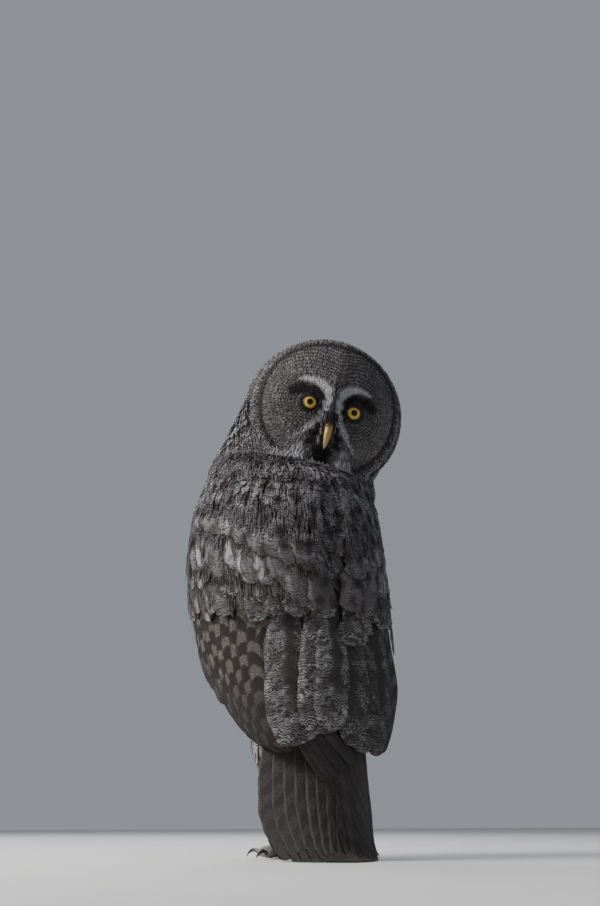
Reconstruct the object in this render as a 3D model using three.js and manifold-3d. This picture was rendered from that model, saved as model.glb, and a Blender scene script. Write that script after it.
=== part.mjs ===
// Great grey owl, life size, standing with its head turned back over its left shoulder.
// Millimetres, +Z up. The breast faces -Y and the owl's own left is +X.

import * as THREE from 'three';
import { mergeVertices } from 'three/addons/utils/BufferGeometryUtils.js';
import Module from 'manifold-3d';

const wasm = await Module();
wasm.setup();

// Driving sizes
const GAP = 0.3;
const GROWTH = 0.36;
const TORSO_TOP = 462;
const HEAD_CENTRE = new THREE.Vector3(-37.6, 27, 558.8);
const HEAD_TURN = 19.6;
const HEAD_DIP = -12.8;
const HEAD_TILT = 11.7;
const DISC_RADIUS = 105;
const EYE_RADIUS = 13.5;
const EYE_GRID = [8, 16];
const EYE_APART = 60;
const EYE_FORWARD = 49;
const EYE_HEIGHT = 8;
const LEG_APART = 60;
const LEG_MIDDLE = -9;
const LEG_PLACE = 35;
const ANKLE = 30;
const TALON_LENGTH = 21;

// Finishes
const FINISH = {
  back: { color: 0x8a8078, roughness: 0.9 },
  wing: { color: 0x6f655c, roughness: 0.85 },
  face: { color: 0x9a938b, roughness: 0.92 },
  tail: { color: 0x6a5f56, roughness: 0.85 },
  leg: { color: 0xb5aa98, roughness: 0.95 },
  eye: { color: 0xe0b43a, roughness: 0.08 },
  bill: { color: 0xc9a544, roughness: 0.4 },
  talon: { color: 0x1c1a19, roughness: 0.35 },
};

const radians = THREE.MathUtils.degToRad;
const vector = (x, y, z) => new THREE.Vector3(x, y, z);
const mix = (a, b, t) => a + (b - a) * t;
const bump = (distance, reach) => Math.exp(-((distance / reach) ** 2));

// Smooth function through [place, value] pairs that does not overshoot between them
function through(...knots) {
  const x = knots.map(([place]) => place);
  const y = knots.map(([, value]) => value);
  const last = x.length - 1;
  const step = i => (y[i + 1] - y[i]) / (x[i + 1] - x[i]);
  const slope = y.map((_, i) => {
    if (i === 0) return step(0);
    if (i === last) return step(last - 1);
    const before = step(i - 1);
    const after = step(i);
    return before * after <= 0 ? 0 : (2 * before * after) / (before + after);
  });
  return place => {
    const at = Math.min(Math.max(place, x[0]), x[last]);
    let i = 0;
    while (i < last - 1 && at > x[i + 1]) i += 1;
    const width = x[i + 1] - x[i];
    const s = (at - x[i]) / width;
    const start = y[i] * (1 + 2 * s) + slope[i] * width * s;
    const end = y[i + 1] * (3 - 2 * s) + slope[i + 1] * width * (s - 1);
    return start * (1 - s) ** 2 + end * s ** 2;
  };
}

// Closed body of numbered points and triangles, turned so that its faces point out
function solid(points, triangles) {
  let volume = 0;
  for (const [a, b, c] of triangles) {
    volume += points[a].dot(points[b].clone().cross(points[c]));
  }
  const faces = volume > 0 ? triangles : triangles.map(([a, b, c]) => [a, c, b]);
  return new wasm.Manifold(new wasm.Mesh({
    numProp: 3,
    vertProperties: new Float32Array(points.flatMap(p => [p.x, p.y, p.z])),
    triVerts: new Uint32Array(faces.flat()),
  }));
}

// Body of one of the library's closed shapes, moved by a matrix
function shapeBody(shape, matrix) {
  shape.deleteAttribute('normal');
  shape.deleteAttribute('uv');
  const merged = mergeVertices(shape.applyMatrix4(matrix));
  const place = merged.getAttribute('position');
  const points = Array.from({ length: place.count }, (_, i) => vector(0, 0, 0).fromBufferAttribute(place, i));
  const index = [...merged.index.array];
  const triangles = [];
  for (let i = 0; i < index.length; i += 3) triangles.push(index.slice(i, i + 3));
  return solid(points, triangles);
}

// Body of closed rings: at(v, u) with v from 0 to 1 along it and u once round, a point at each end
function ringBody(rows, columns, at) {
  const points = [at(0, 0)];
  for (let row = 1; row < rows; row += 1) {
    for (let column = 0; column < columns; column += 1) {
      points.push(at(row / rows, column / columns));
    }
  }
  points.push(at(1, 0));
  const id = (row, column) => 1 + (row - 1) * columns + (column % columns);
  const triangles = [];
  for (let column = 0; column < columns; column += 1) {
    triangles.push([0, id(1, column), id(1, column + 1)]);
    triangles.push([points.length - 1, id(rows - 1, column + 1), id(rows - 1, column)]);
    for (let row = 1; row < rows - 1; row += 1) {
      triangles.push([id(row, column), id(row + 1, column), id(row + 1, column + 1)]);
      triangles.push([id(row, column), id(row + 1, column + 1), id(row, column + 1)]);
    }
  }
  return solid(points, triangles);
}

// Slab between two sheets split alike: at(v, u, face), face 1 for the outer sheet and 0 for the inner
function slabBody(rows, columns, at) {
  const points = [];
  for (const face of [1, 0]) {
    for (let row = 0; row <= rows; row += 1) {
      for (let column = 0; column <= columns; column += 1) {
        points.push(at(row / rows, column / columns, face));
      }
    }
  }
  const sheet = (rows + 1) * (columns + 1);
  const id = (face, row, column) => (1 - face) * sheet + row * (columns + 1) + column;
  const triangles = [];
  for (let row = 0; row < rows; row += 1) {
    for (let column = 0; column < columns; column += 1) {
      const corner = face => [
        id(face, row, column), id(face, row + 1, column),
        id(face, row + 1, column + 1), id(face, row, column + 1),
      ];
      const [a, b, c, d] = corner(1);
      const [e, f, g, h] = corner(0);
      triangles.push([a, b, c], [a, c, d], [e, g, f], [e, h, g]);
    }
  }
  const edge = [];
  for (let row = 0; row < rows; row += 1) edge.push([row, 0]);
  for (let column = 0; column < columns; column += 1) edge.push([rows, column]);
  for (let row = rows; row > 0; row -= 1) edge.push([row, columns]);
  for (let column = columns; column > 0; column -= 1) edge.push([0, column]);
  edge.forEach(([row, column], i) => {
    const [nextRow, nextColumn] = edge[(i + 1) % edge.length];
    const [a, b] = [id(1, row, column), id(1, nextRow, nextColumn)];
    const [c, d] = [id(0, row, column), id(0, nextRow, nextColumn)];
    triangles.push([a, d, b], [a, c, d]);
  });
  return solid(points, triangles);
}

// The same body with every face moved out by a distance
function grown(body, distance = GROWTH) {
  const { vertProperties, triVerts } = body.getMesh();
  const points = [];
  for (let i = 0; i < vertProperties.length; i += 3) {
    points.push(vector(...vertProperties.slice(i, i + 3)));
  }
  const STEADY = 0.03;
  const corners = points.map(() => ({
    square: new THREE.Matrix3().multiplyScalar(STEADY),
    reach: vector(0, 0, 0),
  }));
  const triangles = [];
  for (let i = 0; i < triVerts.length; i += 3) {
    const triangle = [...triVerts.slice(i, i + 3)];
    const [a, b, c] = triangle.map(corner => points[corner]);
    const normal = b.clone().sub(a).cross(c.clone().sub(a)).normalize();
    const along = normal.toArray();
    for (const corner of triangle) {
      const { square, reach } = corners[corner];
      square.elements.forEach((_, k) => { square.elements[k] += along[k % 3] * along[Math.floor(k / 3)]; });
      reach.addScaledVector(normal, distance);
    }
    triangles.push(triangle);
  }
  return solid(points.map((p, i) => p.clone().add(corners[i].reach.applyMatrix3(corners[i].square.invert()))),
    triangles);
}

const above = (body, height) => body.trimByPlane([0, 0, 1], height);
const below = (body, height) => body.trimByPlane([0, 0, -1], -height);

const rounded = (value, power) => Math.sign(value) * Math.abs(value) ** power;

// Point on an upright oval section: angle 0 is the back, 90 the owl's left, 180 the breast
function ovalPoint(shape, angle, z) {
  const power = shape.power ? shape.power(z) : 1;
  const across = rounded(Math.sin(radians(angle)), power);
  const along = rounded(Math.cos(radians(angle)), power);
  const depth = along > 0 ? shape.back(z) : shape.front(z);
  return vector(shape.x(z) + shape.width(z) * across, shape.y(z) + depth * along, z);
}

// The same point lifted off the oval surface along its normal
function liftedPoint(shape, angle, z, height) {
  const round = ovalPoint(shape, angle + 0.5, z).sub(ovalPoint(shape, angle - 0.5, z));
  const rise = ovalPoint(shape, angle, z + 0.5).sub(ovalPoint(shape, angle, z - 0.5));
  const normal = rise.cross(round).normalize();
  return ovalPoint(shape, angle, z).addScaledVector(normal, height);
}

// Trunk of the body under the wings, from the underside of the belly to the shoulders
const TRUNK = {
  x: through([98, -6], [140, -6], [200, -6], [250, -4], [300, 0], [360, 2], [420, 2.5], [470, 0]),
  y: through([98, 44], [115, 40], [140, 34], [170, 26], [210, 14], [240, 8], [300, 0], [360, -6],
    [420, -5], [470, -1]),
  width: through([98, 0], [104, 28], [118, 46], [140, 66], [170, 85], [210, 103], [240, 113], [300, 121],
    [360, 120], [420, 115], [470, 112]),
  back: through([98, 0], [104, 30], [118, 50], [140, 64], [170, 79], [210, 93], [240, 103], [300, 114],
    [360, 114], [420, 105], [447, 97], [462, 85], [474, 68]),
  front: through([98, 0], [104, 34], [118, 54], [140, 78], [170, 101], [210, 116], [240, 121], [300, 118],
    [360, 110], [420, 98], [470, 88]),
};

// Outside of the folded wings and the mantle, squarer towards the wing tips
const CLOAK = {
  x: through([80, -4], [120, -2], [160, -4], [200, -6], [250, -4], [300, 0], [360, 2], [420, 2.5], [470, 0]),
  y: through([80, 86], [120, 70], [160, 45], [200, 25], [240, 10], [300, 0], [360, -6], [420, -5], [470, -1]),
  width: through([80, 50], [120, 75], [160, 96], [200, 111], [240, 119], [300, 126], [360, 124], [420, 118],
    [470, 113]),
  back: through([80, 44], [120, 60], [160, 84], [200, 103], [240, 114], [300, 120], [360, 118], [420, 108],
    [447, 98], [462, 86], [474, 69]),
  front: through([80, 44], [160, 80], [240, 110], [300, 114], [360, 108], [470, 88]),
  power: through([80, 0.75], [140, 0.78], [260, 1]),
};

// Neck, from the shoulders up into the back of the head
const NAPE = {
  x: through([440, 0], [474, -3], [502, -19], [531, -30], [560, -32], [589, -32], [625, -34]),
  y: through([440, 0], [625, 0]),
  width: through([440, 115], [474, 115], [502, 119], [531, 117], [560, 105], [589, 94], [610, 70], [625, 0]),
  back: through([447, 98], [462, 85], [474, 68], [488, 48], [502, 34], [531, 14], [560, 6], [610, 4],
    [625, 0]),
  front: through([440, 94], [474, 89], [502, 84], [531, 77], [560, 68], [589, 56], [610, 36], [625, 0]),
};

// Long feathers of the vent that fill the space between the belly and the tail
function ventBody() {
  const spine = new THREE.CatmullRomCurve3([vector(0, 40, 160), vector(3, 84, 108), vector(9, 108, 66)]);
  const width = through([0, 20], [0.3, 44], [0.7, 38], [1, 0]);
  const depth = through([0, 10], [0.3, 28], [0.7, 15], [1, 0]);
  return ringBody(7, 12, (v, u) => {
    const along = spine.getTangent(v);
    const out = vector(0, along.z, -along.y).normalize();
    const round = 2 * Math.PI * u;
    const across = vector(width(v) * Math.sin(round), 0, 0);
    return spine.getPoint(v).add(across).addScaledVector(out, depth(v) * Math.cos(round));
  });
}

function ovalBody(shape, low, high, rows, columns) {
  return ringBody(rows, columns, (v, u) => ovalPoint(shape, 360 * u, mix(low, high, v)));
}

// Seeded draws, so that every making of the owl is the same
let seed = 20;
function draw(spread) {
  seed = (seed * 16807) % 2147483647;
  return spread * (2 * (seed / 2147483647) - 1);
}

// A vane is a blade of lozenge section that widens from its sunk root and rounds off at its free tip
const LONG_VANE = [0, 0.4, 0.8, 0.95];
const SHORT_VANE = [0, 0.5, 0.88];
const TAIL_VANE = [0, 0.25, 0.52, 0.7, 0.81, 0.93];
const VANE_WIDTH = through([0, 0.55], [0.4, 1], [0.8, 0.94], [0.95, 0.5]);
const VANE_THICKNESS = 1.8;
const VANE_TILT = 0.13;
const WING_VANE_BEND = 0.0042;
const TAIL_VANE_BEND = 0.001;

// frameAt(t) gives the centre line and the directions across and out. Tilt lifts one edge over the next
// vane, and bend lowers both edges to follow the body.
function vaneBody(frameAt, stations, width, tilt, bend) {
  const points = [];
  for (const t of stations) {
    const { centre, across, out } = frameAt(t);
    const half = (width / 2) * VANE_WIDTH(t);
    const drop = bend * half ** 2;
    const thick = VANE_THICKNESS * (1 - 0.4 * t) / 2;
    points.push(centre.clone().addScaledVector(across, -half).addScaledVector(out, -drop - tilt * half));
    points.push(centre.clone().addScaledVector(out, thick));
    points.push(centre.clone().addScaledVector(across, half).addScaledVector(out, -drop + tilt * half));
    points.push(centre.clone().addScaledVector(out, -thick));
  }
  const tip = points.length;
  points.push(frameAt(1).centre);
  const triangles = [[0, 1, 2], [0, 2, 3]];
  for (let i = 0; i < tip - 4; i += 4) {
    const [l, t, r, b] = [i, i + 1, i + 2, i + 3];
    triangles.push([l, l + 4, t + 4], [l, t + 4, t], [r, t, t + 4], [r, t + 4, r + 4]);
    triangles.push([l, b + 4, l + 4], [l, b, b + 4], [r, b + 4, b], [r, r + 4, b + 4]);
  }
  const [l, t, r, b] = [tip - 4, tip - 3, tip - 2, tip - 1];
  triangles.push([l, tip, t], [t, tip, r], [r, tip, b], [b, tip, l]);
  return solid(points, triangles);
}

// Head frame: forward, up and the owl's own right
const turn = radians(HEAD_TURN);
const dip = radians(HEAD_DIP);
const tilt = radians(HEAD_TILT);
const headForward = vector(Math.sin(turn) * Math.cos(dip), Math.cos(turn) * Math.cos(dip), Math.sin(dip));
const levelUp = vector(0, 0, 1).addScaledVector(headForward, -headForward.z).normalize();
const levelLeft = levelUp.clone().cross(headForward);
const headUp = levelUp.clone().multiplyScalar(Math.cos(tilt)).addScaledVector(levelLeft, Math.sin(tilt));
const headRight = headForward.clone().cross(headUp);

function onHead(right, forward, up) {
  return HEAD_CENTRE.clone().addScaledVector(headRight, right)
    .addScaledVector(headForward, forward).addScaledVector(headUp, up);
}

// How far forward the face lies at a place on the disc
const rimForward = through([0, 26], [45, 16], [90, 6], [135, 12], [180, 24]);
function faceForward(right, up) {
  const angle = Math.abs(THREE.MathUtils.radToDeg(Math.atan2(right, up)));
  const reach = Math.hypot(right, up) / DISC_RADIUS;
  const dome = mix(66, rimForward(angle), reach ** 2.2);
  const beside = Math.abs(right) - EYE_APART / 2;
  const dish = 5 * bump(Math.hypot(beside, up - EYE_HEIGHT), 24);
  const ridge = 7 * bump(right, 9) * bump(up - 12, 45);
  return dome - dish + ridge;
}

const discReach = through([0, 0.99], [60, 1], [95, 0.975], [125, 0.92], [155, 0.87], [180, 0.86]);
function headPoint(v, u) {
  const around = 2 * Math.PI * u;
  const degrees = Math.abs(((360 * u + 180) % 360) - 180);
  const reach = DISC_RADIUS * discReach(degrees);
  const FACE_PART = 0.5;
  if (v <= FACE_PART) {
    const radius = reach * Math.sin((v / FACE_PART) * Math.PI / 2);
    const [right, up] = [radius * Math.sin(around), radius * Math.cos(around)];
    return onHead(right, faceForward(right, up), up);
  }
  const back = ((v - FACE_PART) / (1 - FACE_PART)) * Math.PI / 2;
  const radius = reach * Math.cos(back) * (1 + 0.2 * Math.sin(2 * back));
  const rim = faceForward(reach * Math.sin(around), reach * Math.cos(around));
  const behind = mix(rim, -76, Math.sin(back));
  return onHead(radius * Math.sin(around), behind, radius * Math.cos(around));
}

// Eyes, set so that the opening between the lids is the width of the iris
const eyes = [['eye_right', 1], ['eye_left', -1]].map(([name, side]) => ({
  name,
  centre: onHead((side * EYE_APART) / 2, EYE_FORWARD, EYE_HEIGHT),
}));

function ball(centre, radius, rows, columns) {
  return ringBody(rows, columns, (v, u) => {
    const down = Math.PI * v;
    const round = 2 * Math.PI * u;
    return centre.clone().addScaledVector(headForward, radius * Math.cos(down))
      .addScaledVector(headRight, radius * Math.sin(down) * Math.sin(round))
      .addScaledVector(headUp, radius * Math.sin(down) * Math.cos(round));
  });
}

// Raised lids round the opening of an eye
function lidBody(centre) {
  const LID_FORWARD = 9.3;
  const LID_RING = [10.6, 2, 4, 14];
  const matrix = new THREE.Matrix4().makeBasis(headRight, headUp, headForward.clone().negate());
  matrix.setPosition(centre.clone().addScaledVector(headForward, LID_FORWARD));
  return shapeBody(new THREE.TorusGeometry(...LID_RING), matrix);
}

// Curved horn along a spine given by points in a local frame, oval in section
function hornBody(place, rows, columns, spine, halfWidth, halfDepth) {
  const curve = new THREE.CatmullRomCurve3(spine);
  return ringBody(rows, columns, (v, u) => {
    const centre = curve.getPoint(v);
    const along = curve.getTangent(v);
    const across = vector(1, 0, 0);
    const outward = along.clone().cross(across).normalize();
    const round = 2 * Math.PI * u;
    const p = centre.addScaledVector(across, halfWidth(v) * Math.sin(round))
      .addScaledVector(outward, halfDepth(v) * Math.cos(round));
    return place(p.x, p.y, p.z);
  });
}

function upperBill() {
  const spine = [
    vector(0, 50, -4), vector(0, 68, -12), vector(0, 77, -26), vector(0, 79, -40), vector(0, 76, -50),
  ];
  const width = through([0, 2], [0.12, 6.5], [0.4, 6.6], [0.75, 4], [1, 0.2]);
  const depth = through([0, 2], [0.12, 7.5], [0.4, 7], [0.75, 4.2], [1, 0.2]);
  return hornBody(onHead, 10, 10, spine, width, depth);
}

function nostrilBody(side) {
  const RADIUS = 1.8;
  return ball(onHead(side * 6.2, 71.5, -12.5), RADIUS, 4, 6);
}

function lowerBill() {
  const spine = [vector(0, 48, -18), vector(0, 60, -24), vector(0, 67, -32), vector(0, 69.5, -40)];
  const width = through([0, 2], [0.2, 5.4], [0.6, 4.6], [1, 0.3]);
  const depth = through([0, 1], [0.2, 3.2], [0.6, 2.6], [1, 0.3]);
  return hornBody(onHead, 6, 8, spine, width, depth);
}

// Wing edges as angles round the cloak, by height, and its tiers of feathers from the midline outwards.
// A tier runs from place 0 beside the midline to place 1 at the outer edge.
const upperTiers = inset => [
  {
    tier: 'greater coverts',
    count: 9,
    angle: through([0, inset + 12], [1, 97]),
    root: through([0, 335], [1, 350]),
    tip: through([0, 276], [1, 292]),
    lean: 2,
    width: through([0, 27], [1, 24]),
    lift: through([0, 5], [1, 4.2]),
  },
  {
    tier: 'median coverts',
    count: 8,
    angle: through([0, inset + 24], [1, 99]),
    root: through([0, 366], [1, 380]),
    tip: through([0, 312], [1, 326]),
    lean: 2,
    width: through([0, 27], [1, 25]),
    lift: through([0, 5], [1, 4.6]),
  },
  {
    tier: 'long scapulars',
    count: 7,
    angle: through([0, inset + 10], [0.5, 46], [1, 88]),
    root: through([0, 344], [0.5, 388], [1, 420]),
    tip: through([0, 284], [0.5, 318], [1, 356]),
    lean: 4,
    width: through([0, 34], [1, 32]),
    lift: through([0, 7], [1, 6]),
  },
  {
    tier: 'short scapulars',
    count: 6,
    angle: through([0, inset + 20], [0.5, 52], [1, 86]),
    root: through([0, 376], [0.5, 412], [1, 436]),
    tip: through([0, 326], [0.5, 358], [1, 392]),
    lean: 4,
    width: through([0, 36], [1, 32]),
    lift: through([0, 6.4], [1, 5.4]),
  },
];

const WINGS = [
  {
    name: 'wing_left',
    side: 1,
    top: 458,
    tip: 136,
    dorsal: through([136, 24], [150, 4], [170, -3], [300, -5], [335, -3], [370, 8], [410, 32], [458, 68]),
    ventral: through([136, 50], [160, 74], [200, 88], [250, 97], [300, 104], [360, 108], [410, 108],
      [458, 100]),
    tiers: [
      {
        tier: 'primaries that cross over the tail',
        stations: LONG_VANE,
        count: 4,
        angle: through([0, 24], [1, 46]),
        root: through([0, 182], [1, 176]),
        tip: through([0, 101], [0.5, 91], [1, 84]),
        lean: through([0, 33], [1, 31]),
        width: () => 17,
        lift: through([0, -1.6], [1, -1]),
      },
      {
        tier: 'tertials and secondaries',
        stations: LONG_VANE,
        count: 11,
        angle: through([0, 6.5], [0.1, 20], [0.2, 33], [0.3, 44], [1, 97]),
        root: through([0, 292], [1, 318]),
        tip: through([0, 134], [0.1, 120], [0.2, 113], [0.4, 115], [0.6, 127], [0.8, 154], [1, 206]),
        lean: through([0, -2], [0.2, -5], [0.4, -6], [1, 0]),
        width: through([0, 40], [0.2, 37], [0.3, 28], [1, 24]),
        lift: through([0, 4.6], [0.3, 3.6], [1, 3]),
      },
      ...upperTiers(0),
    ],
  },
  {
    name: 'wing_right',
    side: -1,
    top: 458,
    tip: 122,
    dorsal: through([122, 34], [136, 18], [156, 6.4], [300, 5.6], [335, 6], [370, 12], [410, 32], [458, 68]),
    ventral: through([122, 56], [140, 68], [160, 76], [200, 88], [250, 97], [300, 104], [360, 108],
      [410, 108], [458, 100]),
    tiers: [
      {
        tier: 'tertials and secondaries',
        stations: LONG_VANE,
        count: 11,
        angle: through([0, 14.5], [0.1, 25], [0.2, 35], [0.3, 44], [1, 97]),
        root: through([0, 292], [1, 318]),
        tip: through([0, 148], [0.1, 126], [0.2, 110], [0.3, 104], [0.45, 107], [0.6, 124], [0.8, 166], [1, 236]),
        lean: through([0, 1], [0.2, 3], [0.4, 0], [1, 0]),
        width: through([0, 34], [0.2, 36], [0.3, 28], [1, 24]),
        lift: through([0, 4.6], [0.3, 3.6], [1, 3]),
      },
      ...upperTiers(9),
    ],
  },
];
const WING_DEPTH = through([122, 3], [150, 4], [200, 7], [280, 12], [400, 14], [458, 6]);
const WING_CROWN = through([290, -1], [340, -0.6], [400, 1.8]);
const VANE_SUNK = -2.6;
const WING_SPREAD = { angle: 0.6, tip: 2, lift: 0.2 };

function wingSlab(wing) {
  return slabBody(14, 8, (v, u, face) => {
    const z = mix(wing.top, wing.tip, v);
    const angle = wing.side * mix(wing.dorsal(z), wing.ventral(z), u);
    const edge = Math.sqrt(Math.sin(Math.PI * mix(0.02, 0.98, u)));
    const height = face ? mix(-1, WING_CROWN(z), edge) : -mix(2, WING_DEPTH(z), edge);
    return liftedPoint(CLOAK, angle, z, height);
  });
}

// Where a wing feather's centre line runs on the cloak, and the directions across and out there
function wingFrame(side, from, to, lift) {
  const angleAt = t => side * mix(from.angle, to.angle, t);
  const heightAt = t => mix(VANE_SUNK, lift, Math.sin(Math.min(t / 0.8, 1) * Math.PI / 2));
  const centreAt = t => liftedPoint(CLOAK, angleAt(t), mix(from.z, to.z, t), heightAt(t));
  return t => {
    const centre = centreAt(t);
    const along = centreAt(t + 0.02).sub(centreAt(t - 0.02)).normalize();
    const z = mix(from.z, to.z, t);
    const angle = angleAt(t);
    const out = liftedPoint(CLOAK, angle, z, 1).sub(liftedPoint(CLOAK, angle, z, 0)).normalize();
    const across = along.clone().cross(out).normalize().multiplyScalar(side);
    return { centre, across, out };
  };
}

function wingBody(wing) {
  const vanes = [];
  for (const tier of wing.tiers) {
    for (let i = 0; i < tier.count; i += 1) {
      const place = i / (tier.count - 1);
      const lean = typeof tier.lean === 'number' ? tier.lean : tier.lean(place);
      const angle = tier.angle(place) + draw(WING_SPREAD.angle);
      const from = { angle, z: tier.root(place) };
      const to = { angle: angle - lean, z: tier.tip(place) + draw(WING_SPREAD.tip) };
      const frame = wingFrame(wing.side, from, to, tier.lift(place) + draw(WING_SPREAD.lift));
      vanes.push(vaneBody(frame, tier.stations ?? SHORT_VANE, tier.width(place), VANE_TILT, WING_VANE_BEND));
    }
  }
  return vanes.reduce((body, vane) => body.add(vane), wingSlab(wing));
}

// Tail: twelve feathers that hang from the rump, the middle pair on top, and lie down on the ground
const TAIL_COUNT = 12;
const TAIL_VANE_WIDTH = 23;
const tailLine = new THREE.CatmullRomCurve3([
  vector(6, 92, 214), vector(6, 105, 165), vector(10, 115, 118), vector(9, 125, 72), vector(9, 133, 36),
  vector(10, 143, 12), vector(11, 158, 2), vector(12, 180, 0.5),
]);
const tailWidth = through([0, 38], [0.25, 68], [0.45, 70], [0.6, 60], [0.75, 49], [0.9, 39], [1, 32]);
const tailArch = through([0, 12], [0.25, 28], [0.45, 38], [0.65, 22], [0.85, 4], [1, 0]);

// Point of the fan: v along it, across from -1 to 1, and height over its middle surface
function tailPoint(v, across, height) {
  const along = tailLine.getTangent(v);
  const outward = vector(0, -along.z, along.y).normalize();
  const point = tailLine.getPoint(v).addScaledVector(outward, height - tailArch(v) * across ** 2);
  return point.add(vector(tailWidth(v) * across, 0, 0));
}

function tailBody() {
  const CORE_END = 0.36;
  const EDGE = 0.92;
  const VANE_START = 0.27;
  const core = slabBody(5, 6, (v, u, face) => (
    tailPoint(CORE_END * v, EDGE * (2 * u - 1), face ? mix(1, -1, v) : -mix(6, 4.4, v))
  ));
  const TOP = (TAIL_COUNT - 1) / 2 - 0.5;
  const TOP_LIFT = 1.5;
  const TILT = 0.15;
  const END_SPREAD = 0.012;
  const OUTER_SHORTER = 0.3;
  const vanes = [];
  for (let i = 0; i < TAIL_COUNT; i += 1) {
    const side = (2 * i) / (TAIL_COUNT - 1) - 1;
    const end = 1 - OUTER_SHORTER * side ** 2 + draw(END_SPREAD);
    const lift = i === TOP ? TOP_LIFT : 0;
    const frame = t => {
      const v = mix(VANE_START, end, t);
      const across = side * mix(0.84, 0.92, t);
      const height = mix(VANE_SUNK, lift, Math.min(t / 0.25, 1)) * (1 - t ** 6);
      const centre = tailPoint(v, across, height);
      const nearEnd = Math.min(v + 0.01, 1);
      const along = tailPoint(nearEnd, across, 0).sub(tailPoint(nearEnd - 0.02, across, 0)).normalize();
      const sideways = tailPoint(v, across + 0.02, 0).sub(tailPoint(v, across - 0.02, 0)).normalize();
      const out = sideways.clone().cross(along).normalize();
      return { centre, across: along.clone().cross(out).normalize(), out };
    };
    vanes.push(vaneBody(frame, TAIL_VANE, TAIL_VANE_WIDTH, TILT * Math.sign(i - TOP), TAIL_VANE_BEND));
  }
  return above(vanes.reduce((body, vane) => body.add(vane), core), 0);
}

// Legs and feet, a little to the owl's right under its body
const legMiddle = side => LEG_MIDDLE + (side * LEG_APART) / 2;

function legBody(side) {
  const shape = {
    x: through([0, legMiddle(side)], [190, legMiddle(side) + side * 3]),
    y: through([0, LEG_PLACE], [190, LEG_PLACE + 6]),
    width: through([20, 0], [26, 15], [60, 22], [100, 31], [140, 39], [190, 34], [200, 0]),
    back: through([20, 0], [26, 15], [60, 26], [100, 38], [140, 46], [190, 34], [200, 0]),
    front: through([20, 0], [26, 15], [60, 26], [100, 38], [140, 48], [190, 34], [200, 0]),
  };
  return ovalBody(shape, 20, 200, 9, 12);
}

const TOES = [
  { heading: -12, reach: 50, girth: 7.5 },
  { heading: 20, reach: 48, girth: 7.5 },
  { heading: 118, reach: 42, girth: 7 },
  { heading: 182, reach: 36, girth: 6.5 },
];

// Toe heading 0 points forward, 90 away from the other foot
function toeFrame(side, toe) {
  const heading = radians(toe.heading);
  const ahead = vector(side * Math.sin(heading), -Math.cos(heading), 0);
  const start = vector(legMiddle(side), LEG_PLACE, 0);
  return { ahead, start, across: vector(-ahead.y, ahead.x, 0) };
}

function toeBody(side, toe) {
  const { ahead, start, across } = toeFrame(side, toe);
  const rise = through([0, 12], [0.5, 8.5], [1, 5.5]);
  const width = through([0, 2], [0.15, toe.girth], [0.8, toe.girth * 0.95], [1, toe.girth * 0.4]);
  return ringBody(6, 8, (v, u) => {
    const round = 2 * Math.PI * u;
    const end = v === 0 || v === 1 ? 0 : 1;
    const p = start.clone().addScaledVector(ahead, mix(-4, toe.reach, v));
    p.addScaledVector(across, end * width(v) * Math.sin(round));
    p.z = rise(v) + end * width(v) * 1.02 * Math.cos(round);
    return p;
  });
}

function footBody(side) {
  const BALL = { width: 15, height: 22, rise: 16 };
  const start = vector(legMiddle(side), LEG_PLACE, BALL.rise);
  let foot = ringBody(6, 10, (v, u) => {
    const down = Math.PI * v;
    const round = 2 * Math.PI * u;
    const reach = vector(BALL.width * Math.sin(down) * Math.sin(round),
      BALL.width * Math.sin(down) * Math.cos(round), BALL.height * Math.cos(down));
    return start.clone().add(reach);
  });
  for (const toe of TOES) foot = foot.add(toeBody(side, toe));
  return below(above(foot, 0), ANKLE - GAP / 2);
}

function talonBody(side, toe) {
  const { ahead, start, across } = toeFrame(side, toe);
  const place = (x, y, z) => start.clone().addScaledVector(across, x).addScaledVector(ahead, y).setZ(z);
  const root = toe.reach - 6;
  const spine = [
    vector(0, root, 6.2), vector(0, root + TALON_LENGTH * 0.45, 9.2),
    vector(0, root + TALON_LENGTH * 0.85, 6.6), vector(0, root + TALON_LENGTH * 1.1, 0.9),
  ];
  const width = through([0, 1.2], [0.12, 2.6], [0.5, 2], [1, 0.15]);
  return hornBody(place, 7, 6, spine, width, width);
}

// Assembly
const owl = new THREE.Group();

function place(name, body, finish) {
  const whole = body.decompose().sort((a, b) => b.volume() - a.volume())[0];
  const { vertProperties, triVerts } = whole.getMesh();
  const geometry = new THREE.BufferGeometry();
  geometry.setAttribute('position', new THREE.Float32BufferAttribute(vertProperties, 3));
  geometry.setIndex([...triVerts]);
  const mesh = new THREE.Mesh(geometry, new THREE.MeshStandardMaterial(finish));
  mesh.name = name;
  owl.add(mesh);
  return mesh;
}

const wings = WINGS.map(wing => ({ ...wing, slab: wingSlab(wing), body: wingBody(wing) }));
const tail = tailBody();
let trunk = ovalBody(TRUNK, 98, 478, 19, 28).add(ventBody());
const legs = [['left', 1], ['right', -1]].map(([name, side]) => {
  const cut = above(legBody(side), ANKLE + GAP / 2).subtract(grown(trunk));
  return { name, side, body: cut };
});
trunk = below(trunk, TORSO_TOP - GAP / 2).subtract(grown(tail));
for (const wing of wings) trunk = trunk.subtract(grown(wing.slab));
place('torso', trunk, FINISH.back);

let head = ringBody(18, 30, headPoint);
const nape = above(ovalBody(NAPE, 447, 625, 12, 26), TORSO_TOP + GAP / 2).subtract(grown(head));
place('neck', nape, FINISH.back);

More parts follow.
